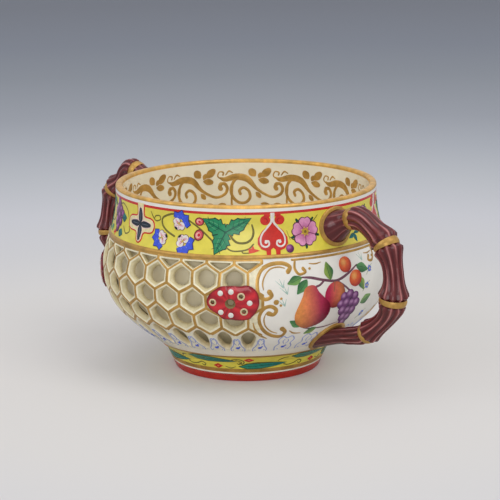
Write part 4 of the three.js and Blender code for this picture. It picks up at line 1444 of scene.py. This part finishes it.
    def rosette_plate(self, way):
        """Closed plate with the holes of the rosette that it carries."""
        c, s = comb(), cup()
        pitch, web = c.pitch * s.belly_radius, c.web / 2
        peak = web + c.slant
        half = [(-1, -web), (-0.5, -peak), (0, -web), (0.5, -peak), (1, -web)]
        corners = [(x * pitch, y) for x, y in half] + [(-x * pitch, -y) for x, y in half]
        outer = np.array(straight_loop(corners, c.side_points))
        inner = outer * (1 - c.bar / (2 * pitch), 1 - c.bar / (2 * peak))
        shift = way * -c.rosette_shift * s.belly_radius
        holes = [[(x + shift, y - c.rosette_drop) for x, y in hole] for hole in rosette_holes(way)]
        bm = painted_mesh()
        loops = [[(x, y, c.bar_crown) for x, y in outer], [(x, y, 0) for x, y in inner]]
        loft(bm, loops, lambda ring, spot: 1)
        join(bm, sheet([inner, *holes], 0))
        join(bm, sheet([outer, *holes], -s.outer_wall))
        for hole in holes:
            loft(bm, [[(x, y, level) for x, y in hole] for level in (0, -s.outer_wall)])
        # The plate and the walls of its holes take the funnel's painted shade
        paint_points(bm, bm.verts, linear(self.funnel_painted_shade))
        place = (way * c.side_cells * pitch, row_height(self.rosette_row), 0)
        bmesh.ops.translate(bm, verts=bm.verts[:], vec=place)
        return bm


ROSETTE_OUTLINE = [
    (-7.9, 0.9), (-6.8, 3.1), (-4.7, 4.8), (-3, 5.7), (0, 5.9), (3.2, 5.8), (5.3, 6.1), (7.1, 5.6),
    (8.8, 3.9), (9.5, 1.6), (9.4, -0.85), (8.4, -3.2), (7.2, -4.6), (6.2, -5.5), (3.25, -5.9),
    (0.1, -5.6), (-2.6, -5.4), (-4.5, -3.7), (-6.6, -2.3), (-7.6, -0.9),
]
ROSETTE_EYE = (0, 0, 1.75)
ROSETTE_HOLES = [(3.6, 2.5, 0.75), (4.5, -2.65, 0.75), (-5.8, 0.4, 0.7)]
ROSETTE_DOTS = [(-3.2, 3.5), (0.3, 4), (6.4, 0.3), (-3.2, -2.9), (0.1, -3.9)]


def rosette_height():
    """Height of a rosette's middle."""
    return row_height(2) - comb().rosette_drop


def rosette_stretch():
    """How much wider than real a rosette is drawn on the sheet that bends round the belly."""
    return cup().belly_radius / Skin().radius(rosette_height())


def rosette_holes(way):
    """Outlines of a rosette's holes round its eye, on a flat sheet."""
    wide = way * rosette_stretch() * MM
    loops = [arc((x, y), size, 0, 360, 18)[:-1] for x, y, size in (ROSETTE_EYE, *ROSETTE_HOLES)]
    return [[(x * wide, y * MM) for x, y in loop] for loop in loops]


class CUP_OT_plain_wall(bpy.types.Operator):
    """Build the closed parts of the outer wall: the two reserves and the lower bowl"""

    bl_idname = "cup.plain_wall"
    bl_label = "Plain Wall"

    white, gilt, yellow = range(3)
    bands = {3.6 * MM: gilt, 5.1 * MM: yellow, 10.2 * MM: gilt, 11 * MM: white}
    joint_gap = 0.3 * MM
    grid = (2 * MM, 1.5 * MM)
    outside_rows = 26
    inside_rows = 6
    inside_corner = 3 * MM

    def execute(self, context):
        s, f = cup(), finishes()
        plates = bmesh.new()
        for turn in (math.pi / 2, -math.pi / 2):
            outline = both_sides(reserve_edge(s.belly_radius))
            plate = slab([outline], -s.outer_wall, 0, *self.grid)
            wrap(plate, Skin(), s.belly_radius, turn)
            join(plates, plate)
        finish_piece("reserve_walls", plates, [glaze("clear_glaze", f.white)])
        stack = [glaze("warm_glaze", f.warm), gold(), yellow_glaze()]
        finish_piece("lower_bowl_and_foot", spin_profile(self.lower_rows()), stack)
        return {"FINISHED"}

    def lower_rows(self):
        """Rows from the middle of the outer floor, up the foot and bowl, and back inside."""
        s, c, skin = cup(), comb(), Skin()
        floor_top = s.foot_recess + s.floor_wall
        inner = skin.radius(s.ring_height) - s.ring_width
        joint = s.ring_height + self.joint_gap
        breaks = {joint: self.white, **self.bands}
        rows = [(*row, self.white) for row in ((0, s.foot_recess), (inner, s.foot_recess), (inner, joint))]
        for height in sorted({*np.linspace(joint, c.foot_line, self.outside_rows), *breaks, s.foot_height}):
            kind = breaks[max(start for start in breaks if start <= height)]
            rows.append((*skin.across(height), kind))
        for height in np.linspace(c.foot_line, floor_top + self.inside_corner, self.inside_rows):
            rows.append((*skin.across(height, -s.outer_wall), self.white))
        return rows + [(s.foot_radius, floor_top, self.white), (0, floor_top, self.white)]


class CUP_OT_rosettes(bpy.types.Operator):
    """Apply the four crimson rosettes"""

    bl_idname = "cup.rosettes"
    bl_label = "Rosettes"

    dot_kind, rim_kind, eye_kind = 1, 2, 3
    edge_tone = (104, 18, 30)
    streak_tone = (158, 30, 42)
    dot_tone = (224, 222, 212)
    rim_tone = (206, 188, 146)
    # Dark olive lining of the eye: painted shade inside the hole
    eye_painted_shade = (146, 132, 92)
    rim_rows = ((0, -0.3), (0, 0.06), (0.1, 0.14), (0.4, 0.14), (0.52, 0.06), (0.55, -0.3), (0, -0.3))
    eye_rows = ((0.04, -0.3), (-0.7, -1.4), (-0.7, -1.9), (0.04, -1.9), (0.04, -0.3))
    underside = 0.1 * MM
    rise = 0.3 * MM
    rounding = 1.2 * MM
    edge_width = 0.7 * MM
    grid = 0.8 * MM
    dot_radius = 0.92 * MM
    dot_flatness = 0.35

    def execute(self, context):
        c = comb()
        turn = c.side_cells * c.pitch - c.rosette_shift
        places = {"front_right": (turn, 1), "back_right": (math.pi - turn, -1)}
        places |= {"back_left": (math.pi + turn, 1), "front_left": (-turn, -1)}
        stack = [drawn_glaze("rosette_enamel", 0.14, 1.1, 420)]
        tones = {"dot": self.dot_tone, "rim": self.rim_tone, "eye": self.eye_painted_shade}
        stack += [glaze(f"{name}_enamel", linear(shown), 0.25) for name, shown in tones.items()]
        for name, (where, way) in places.items():
            bm = self.plate(way)
            for x, y in ROSETTE_DOTS:
                join(bm, self.dot(x * way, y))
            for x, y, size in ROSETTE_HOLES:
                join(bm, self.rim(x * way, y, size, self.rim_rows, self.rim_kind))
            # Dark lining down the eye, painted shade in the hole
            join(bm, self.rim(*ROSETTE_EYE, self.eye_rows, self.eye_kind))
            bmesh.ops.translate(bm, verts=bm.verts[:], vec=(0, rosette_height(), 0))
            wrap(bm, Skin(), cup().belly_radius, where)
            bmesh.ops.recalc_face_normals(bm, faces=bm.faces[:])
            finish_piece(f"enamelled_rosette_{name}", bm, stack, [f"rosette_{name}"])
        return {"FINISHED"}

    def plate(self, way):
        """Raised rosette with rounded edges, dark round its outline and streaked between its dots."""
        thick = comb().rosette_thickness
        wide = way * rosette_stretch() * MM
        outline = [(x * wide, y * MM) for x, y in smooth_loop(ROSETTE_OUTLINE)]
        bm = slab([outline, *rosette_holes(way)], self.underside, thick - self.rise, self.grid, self.grid)
        edge, streak, crimson = linear(self.edge_tone), linear(self.streak_tone), finishes().crimson
        tones = []
        for vert in bm.verts:
            reach = min(math.hypot(x - vert.co.x, y - vert.co.y) for x, y in outline)
            angle = math.atan2(vert.co.y, vert.co.x)
            streaked = mixed(crimson, streak, 0.5 + 0.5 * math.sin(9 * angle + 2 * math.sin(3 * angle)))
            tones.append(mixed(edge, streaked, reach / self.edge_width - 0.1))
            if vert.co.z > thick / 2:
                vert.co.z += self.rise * math.sin(min(1.0, reach / self.rounding) * math.pi / 2)
        paint_points(bm, bm.verts, tones)
        return bm

    def dot(self, x, y):
        """Raised white dot."""
        bm = painted_mesh()
        bmesh.ops.create_uvsphere(bm, u_segments=16, v_segments=8, radius=self.dot_radius)
        bmesh.ops.scale(bm, vec=(rosette_stretch(), 1, self.dot_flatness), verts=bm.verts[:])
        spot = (x * rosette_stretch() * MM, y * MM, comb().rosette_thickness)
        bmesh.ops.translate(bm, vec=spot, verts=bm.verts[:])
        return give_finish(bm, self.dot_kind)

    def rim(self, x, y, size, rows, kind):
        """Rim round a hole, from rows of distance out from its edge and of height over the enamel."""
        bm = painted_mesh()
        loops = []
        for grow, level in rows:
            ring = arc((x, y), size + grow, 0, 360, 20)[:-1]
            top = comb().rosette_thickness + level * MM
            loops.append([(px * rosette_stretch() * MM, py * MM, top) for px, py in ring])
        loft(bm, loops)
        bmesh.ops.remove_doubles(bm, verts=bm.verts[:], dist=1e-7)
        bmesh.ops.recalc_face_normals(bm, faces=bm.faces[:])
        return give_finish(bm, kind)


# Handles: route and shifts as x and height, rings at knots of the route, flares before and after each ring

HANDLE_ROUTE = [
    (44, 56.9), (53.4, 60.5), (58.4, 60.7), (63.4, 58.2), (69.1, 53.9), (72.2, 45.6), (72.3, 35.6),
    (69.2, 29.2), (60.3, 22.2), (54, 20.1), (47, 18.8), (38.5, 17.2),
]
LEFT_SHIFTS = [
    (0, 1), (2.5, 2.6), (1.5, 2.2), (-0.6, 0.7), (-1.6, 0.9), (-1.5, 1.8), (-1.2, 2.7), (-0.6, 2.7), (0, 2.2),
    (0, 1.6), (0, 1), (0, 0),
]
HANDLE_RINGS = [1, 4, 6, 8]
RING_RADII = [3.9, 4.6, 4.8, 3.7]
RING_HALVES = [1.25, 0.95, 0.95, 0.9]
FLARES = [(4, 4.5), (6, 6.1), (6.4, 5.6), (5, 3.6)]
WAISTS = [3.7, 3.95, 3.55, 3.35, 3.05]
UPPER_ROOT = (57.2, 6.7, 6.5, -1.6)
LOWER_ROOT = (17.5, 5.8, 5.5, 0)


class CUP_OT_handles(bpy.types.Operator):
    """Model the two bamboo handles"""

    bl_idname = "cup.handles"
    bl_label = "Bamboo Handles"

    flutes = 11
    around = 66
    route_steps = 40
    stretch_rows = 20
    rounding = 1.7
    ring_span = 0.96
    ring_crown = 0.25
    lower_cut = 0.6
    flare_power = 2.6
    end_fall = 0.7
    # Painted highlight on the ridges, changing along the stem, and painted shade in the grooves
    ridge_start = 0.88
    ridge_highlight = 0.46
    ridge_change = 0.4
    groove = (72, 28, 30)
    root_edge = ((1.04, -0.4), (1.04, 0.35), (1, 0.72), (0.87, 0.92), (0.85, 0.82))

    def execute(self, context):
        stack = [drawn_glaze("bamboo_enamel", 0.16, 1.12, 200, 0.35), gold()]
        level = [(0, 0)] * len(HANDLE_ROUTE)
        for name, turn, shifts in (("right", 0, level), ("left", math.pi + cup().left_turn, LEFT_SHIFTS)):
            bm = self.stem(shifts)
            bmesh.ops.rotate(bm, verts=bm.verts[:], matrix=Matrix.Rotation(turn, 3, "Z"))
            finish_piece(f"bamboo_handle_{name}", bm, stack, [f"handle_{name}"])
        return {"FINISHED"}

    def rows(self, lengths):
        """Distance along the stem, radius and kind of each row of points, in millimetres."""
        marks = [lengths[index * self.route_steps] for index in HANDLE_RINGS]
        starts, ends = [0, *marks], [*marks, lengths[-1]]
        halves = [0, *RING_HALVES, 0]
        flares = [WAISTS[0], *[size for pair in FLARES for size in pair], WAISTS[-1]]
        rows = []
        for number, waist in enumerate(WAISTS):
            low, high = starts[number] + halves[number], ends[number] - halves[number + 1]
            for share in np.linspace(0, 1, self.stretch_rows + 1):
                flare = flares[2 * number + (share >= 0.5)]
                near = min(share, 1 - share) * (high - low) / self.rounding
                fall = self.end_fall * max(0.0, 1 - near) ** 2
                size = waist + (flare - waist) * abs(2 * share - 1) ** self.flare_power * (1 - fall)
                rows.append((low + (high - low) * share, size, 0))
            for share in np.linspace(-self.ring_span, self.ring_span, 6) if number < len(marks) else ():
                place = ends[number] + share * RING_HALVES[number]
                rows.append((place, RING_RADII[number] - self.ring_crown * share**2, 1))
        return rows

    def stem(self, shifts):
        """Handle in the plane of the X axis, from its upper root to its lower one."""
        knots = [(x + dx, z + dz) for (x, z), (dx, dz) in zip(HANDLE_ROUTE, shifts)]
        points = np.array([(p.x, p.y) for p in smooth_route(knots, self.route_steps)])
        lengths = np.concatenate([[0], np.cumsum(np.hypot(*np.diff(points, axis=0).T))])
        slopes = np.gradient(points, lengths, axis=0)
        turns = np.arange(self.around) / self.around * math.tau
        wave = 0.5 + 0.5 * np.cos(self.flutes * turns)
        depth = cup().flute_depth / MM
        loops, rounds, tones, kinds, ways = [], [], [], [], []
        for distance, radius, kind in self.rows(lengths):
            x, z, tx, tz = (np.interp(distance, lengths, part) for part in (*points.T, *slopes.T))
            size = math.hypot(tx, tz)
            fluted = radius - (depth * (1 - wave**0.7) if kind == 0 else 0)
            for reach, kept in ((fluted, loops), (radius - depth / 2, rounds)):
                level = np.cos(turns) * reach / size
                kept.append(np.stack([x + tz * level, np.sin(turns) * reach, z - tx * level], 1) * MM)
            ways.append(Vector((tx, 0, tz)).normalized())
            kinds.append(kind)
            tones.append(self.tones(wave, 1, distance))
        first = self.stretch_rows
        last = len(loops) - 1 - round(self.stretch_rows * self.lower_cut)
        upper = self.root(UPPER_ROOT, rounds[first], ways[first], -1)
        lower = self.root(LOWER_ROOT, rounds[last], -ways[last], 1)[::-1]
        # The roots darken towards the wall and lose the ridges' highlight: painted shade where the handle
        # meets the wall
        fade = [self.tones(wave, share, 0) for share in np.linspace(0, 0.6, len(upper))]
        gilt = [1, 1, 1, 1, 0]
        plain = [0] * (len(upper) - len(gilt))
        kinds = [*gilt, *plain, *kinds[first:last + 1], *plain, *gilt[::-1]]
        tones = fade + tones[first:last + 1] + fade[::-1]
        loops = [[tuple(point) for point in loop] for loop in upper + loops[first:last + 1] + lower]
        bm = painted_mesh()
        loft(bm, loops, lambda ring, spot: int(kinds[ring] and kinds[ring + 1]), tones)
        bmesh.ops.holes_fill(bm, edges=[edge for edge in bm.edges if edge.is_boundary])
        bmesh.ops.recalc_face_normals(bm, faces=bm.faces[:])
        return bm

    def tones(self, wave, share, distance):
        """Colours round one row: dark grooves in painted shade, maroon sides, and pale ridges that are partly
        thin glaze and partly a painted highlight.
        """
        maroon, light, groove = finishes().maroon, finishes().maroon_ridge_highlight, linear(self.groove)
        colours = []
        for number, height in enumerate(wave):
            ridge = max(0.0, (height - self.ridge_start) / (1 - self.ridge_start))
            ridge *= self.ridge_highlight + self.ridge_change * math.sin(number * 1.7 + distance * 0.35)
            side = mixed(groove, maroon, 0.25 + 1.1 * height)
            colours.append(mixed(mixed(groove, maroon, 0.35), mixed(side, light, ridge), share))
        return colours

    def root(self, oval_root, neck, way, up):
        """Loops from an oval root on the wall, with its gilt edge, to the neck of the stem."""
        height, wide, high = (size * MM for size in oval_root[:3])
        skin = Skin()
        turns = np.arange(self.around) / self.around * math.tau
        loops = []
        for share, off in self.root_edge:
            angle = math.radians(90 + oval_root[3]) + wide * share * np.sin(turns) / skin.radius(height)
            level = height + high * share * np.cos(turns) * up
            loops.append(skin.place(angle, level, np.full(self.around, off * MM)))
        start, end = loops[-1], np.array(neck)
        gap = np.linalg.norm(end - start, axis=1)[:, None]
        rise = start + 0.35 * (end - start) + (0.3 * MM, 0, 0)
        lead = end - np.array(way) * 0.4 * gap
        for t in np.linspace(0, 1, 9)[1:-1]:
            near = (1 - t) ** 3 * start + 3 * (1 - t) ** 2 * t * rise
            loops.append(near + 3 * (1 - t) * t**2 * lead + t**3 * end)
        return loops


# Studio

class CUP_OT_studio(bpy.types.Operator):
    """Set the floor, the lamps and the camera"""

    bl_idname = "cup.studio"
    bl_label = "Studio"

    camera_turn = 48.1
    camera_rise = 13.22
    camera_distance = 0.7
    camera_roll = -0.5
    camera_lens = 140.83
    camera_shift = (0.0065, 0.0447)
    sensor_width = 36
    aim = Vector((0, 0, 0.033))
    floor_radius = 6
    floor_sides = 96
    paper_reach = 1.4
    paper_painted_glow = 0.17
    paper_tones = (
        (0, (206, 203, 200)), (0.12, (200, 197, 194)), (0.2, (192, 191, 192)), (0.28, (188, 188, 192)),
        (0.38, (176, 178, 182)), (0.48, (163, 166, 172)), (0.6, (149, 152, 159)), (0.8, (136, 140, 147)),
        (1, (128, 132, 141)), (1.35, (122, 125, 133)),
    )
    air = {"Color": (0.93, 0.95, 1, 1), "Strength": 0.66}
    lamp_rows = (
        ("key", 95, 50, 1.3, 0.7, 3.4, (1, 0.98, 0.94)),
        ("fill", 45, 10, 1.4, 0.7, 4.4, (0.98, 0.98, 1)),
        ("side", -20, 35, 1.4, 0.7, 2.6, (0.97, 0.98, 1)),
        ("top", 60, 86, 1.2, 1, 3, (1, 1, 1)),
    )

    def execute(self, context):
        self.floor()
        self.lamps()
        self.camera()
        context.scene.view_settings.view_transform = "Standard"
        return {"FINISHED"}

    def aimed(self, thing, turn, rise, distance, roll=0):
        """Stands a thing at an angle round the cup and above the table, and turns it to the aim."""
        a, e = math.radians(turn), math.radians(rise)
        way = Vector((math.sin(a) * math.cos(e), -math.cos(a) * math.cos(e), math.sin(e)))
        look = (-way).to_track_quat("-Z", "Y").to_matrix().to_4x4()
        thing.matrix_world = turned(Matrix.Translation(self.aim + way * distance) @ look, roll)

    def floor(self):
        """Paper that darkens with its distance from the cup, with a painted glow that only the camera sees,
        which lifts it and softens the cup's shadow on it.
        """
        bm = bmesh.new()
        bmesh.ops.create_circle(bm, cap_ends=True, segments=self.floor_sides, radius=self.floor_radius)
        material, tree, shader = tree_of("studio_paper")
        place = add(tree, "TexCoord", "Object", {})
        reach = add(tree, "VectorMath", "Value", {"operation": "LENGTH", 0: place})
        share = add(tree, "Math", "Value", {"operation": "DIVIDE", 0: reach, 1: self.paper_reach})
        stops = [(away / self.paper_reach, linear(grey)) for away, grey in self.paper_tones]
        shown = set_stops(tree, share, stops)
        # Painted glow for camera rays only
        seen = add(tree, "LightPath", "Is Camera Ray", {})
        lift = add(tree, "Math", "Value", {"operation": "MULTIPLY", 0: seen, 1: self.paper_painted_glow})
        feed(shader, {"Base Color": shown, "Emission Color": shown, "Emission Strength": lift})
        feed(shader, {"Roughness": 0.9, "Specular IOR Level": 0.1})
        floor = placed("studio_floor", mesh_of("studio_floor", bm, [material]))

    def lamps(self):
        """Soft lamps: a key on the right, a fill from the camera's side, one on the left and one above."""
        world = bpy.data.worlds.new("studio_air")
        bpy.context.scene.world = world
        world.use_nodes = True
        feed(world.node_tree.nodes["Background"], self.air)
        for name, turn, rise, distance, size, power, shade in self.lamp_rows:
            light = bpy.data.lights.new(name, "AREA")
            light.size = size
            light.energy = power
            light.color = shade
            self.aimed(placed(name, light), turn, rise, distance)

    def camera(self):
        """Camera fitted to the rims, bands and foot of the cup."""
        data = bpy.data.cameras.new("camera")
        data.sensor_width = self.sensor_width
        data.lens = self.camera_lens
        data.shift_x, data.shift_y = self.camera_shift
        camera = placed("camera", data)
        self.aimed(camera, self.camera_turn, self.camera_rise, self.camera_distance, self.camera_roll)
        bpy.context.scene.camera = camera


class CUP_PT_panel(bpy.types.Panel):
    """Lists the sizes, the finishes and the pieces of the cup"""

    bl_label = "Pierced Cup"
    bl_idname = "CUP_PT_panel"
    bl_space_type = "VIEW_3D"
    bl_region_type = "UI"
    bl_category = "Cup"

    def draw(self, context):
        for name in GROUPS:
            group = getattr(context.scene, name)
            box = self.layout.box()
            for value in group.__annotations__:
                box.prop(group, value)
        for operator in PIECES:
            self.layout.operator(operator.bl_idname)


PIECES = (
    CUP_OT_inner_cup,
    CUP_OT_honeycomb,
    CUP_OT_plain_wall,
    CUP_OT_foot_ring,
    CUP_OT_rosettes,
    CUP_OT_handles,
    CUP_OT_collar_ornament,
    CUP_OT_vine,
    CUP_OT_reserve_frames,
    CUP_OT_fruit,
    CUP_OT_blue_border,
    CUP_OT_foot_ornament,
    CUP_OT_studio,
)
GROUPS = {"cup_sizes": CupSizes, "cup_honeycomb": HoneycombSizes, "cup_finishes": Finishes}


def register():
    for kind in (*GROUPS.values(), *PIECES, CUP_PT_panel):
        bpy.utils.register_class(kind)
    for name, group in GROUPS.items():
        setattr(bpy.types.Scene, name, PointerProperty(type=group))


def unregister():
    for name in GROUPS:
        delattr(bpy.types.Scene, name)
    for kind in reversed((*GROUPS.values(), *PIECES, CUP_PT_panel)):
        bpy.utils.unregister_class(kind)


def main():
    """Builds every piece in order."""
    register()
    for operator in PIECES:
        group, name = operator.bl_idname.split(".")
        getattr(getattr(bpy.ops, group), name)()


if __name__ == "__main__":
    main()
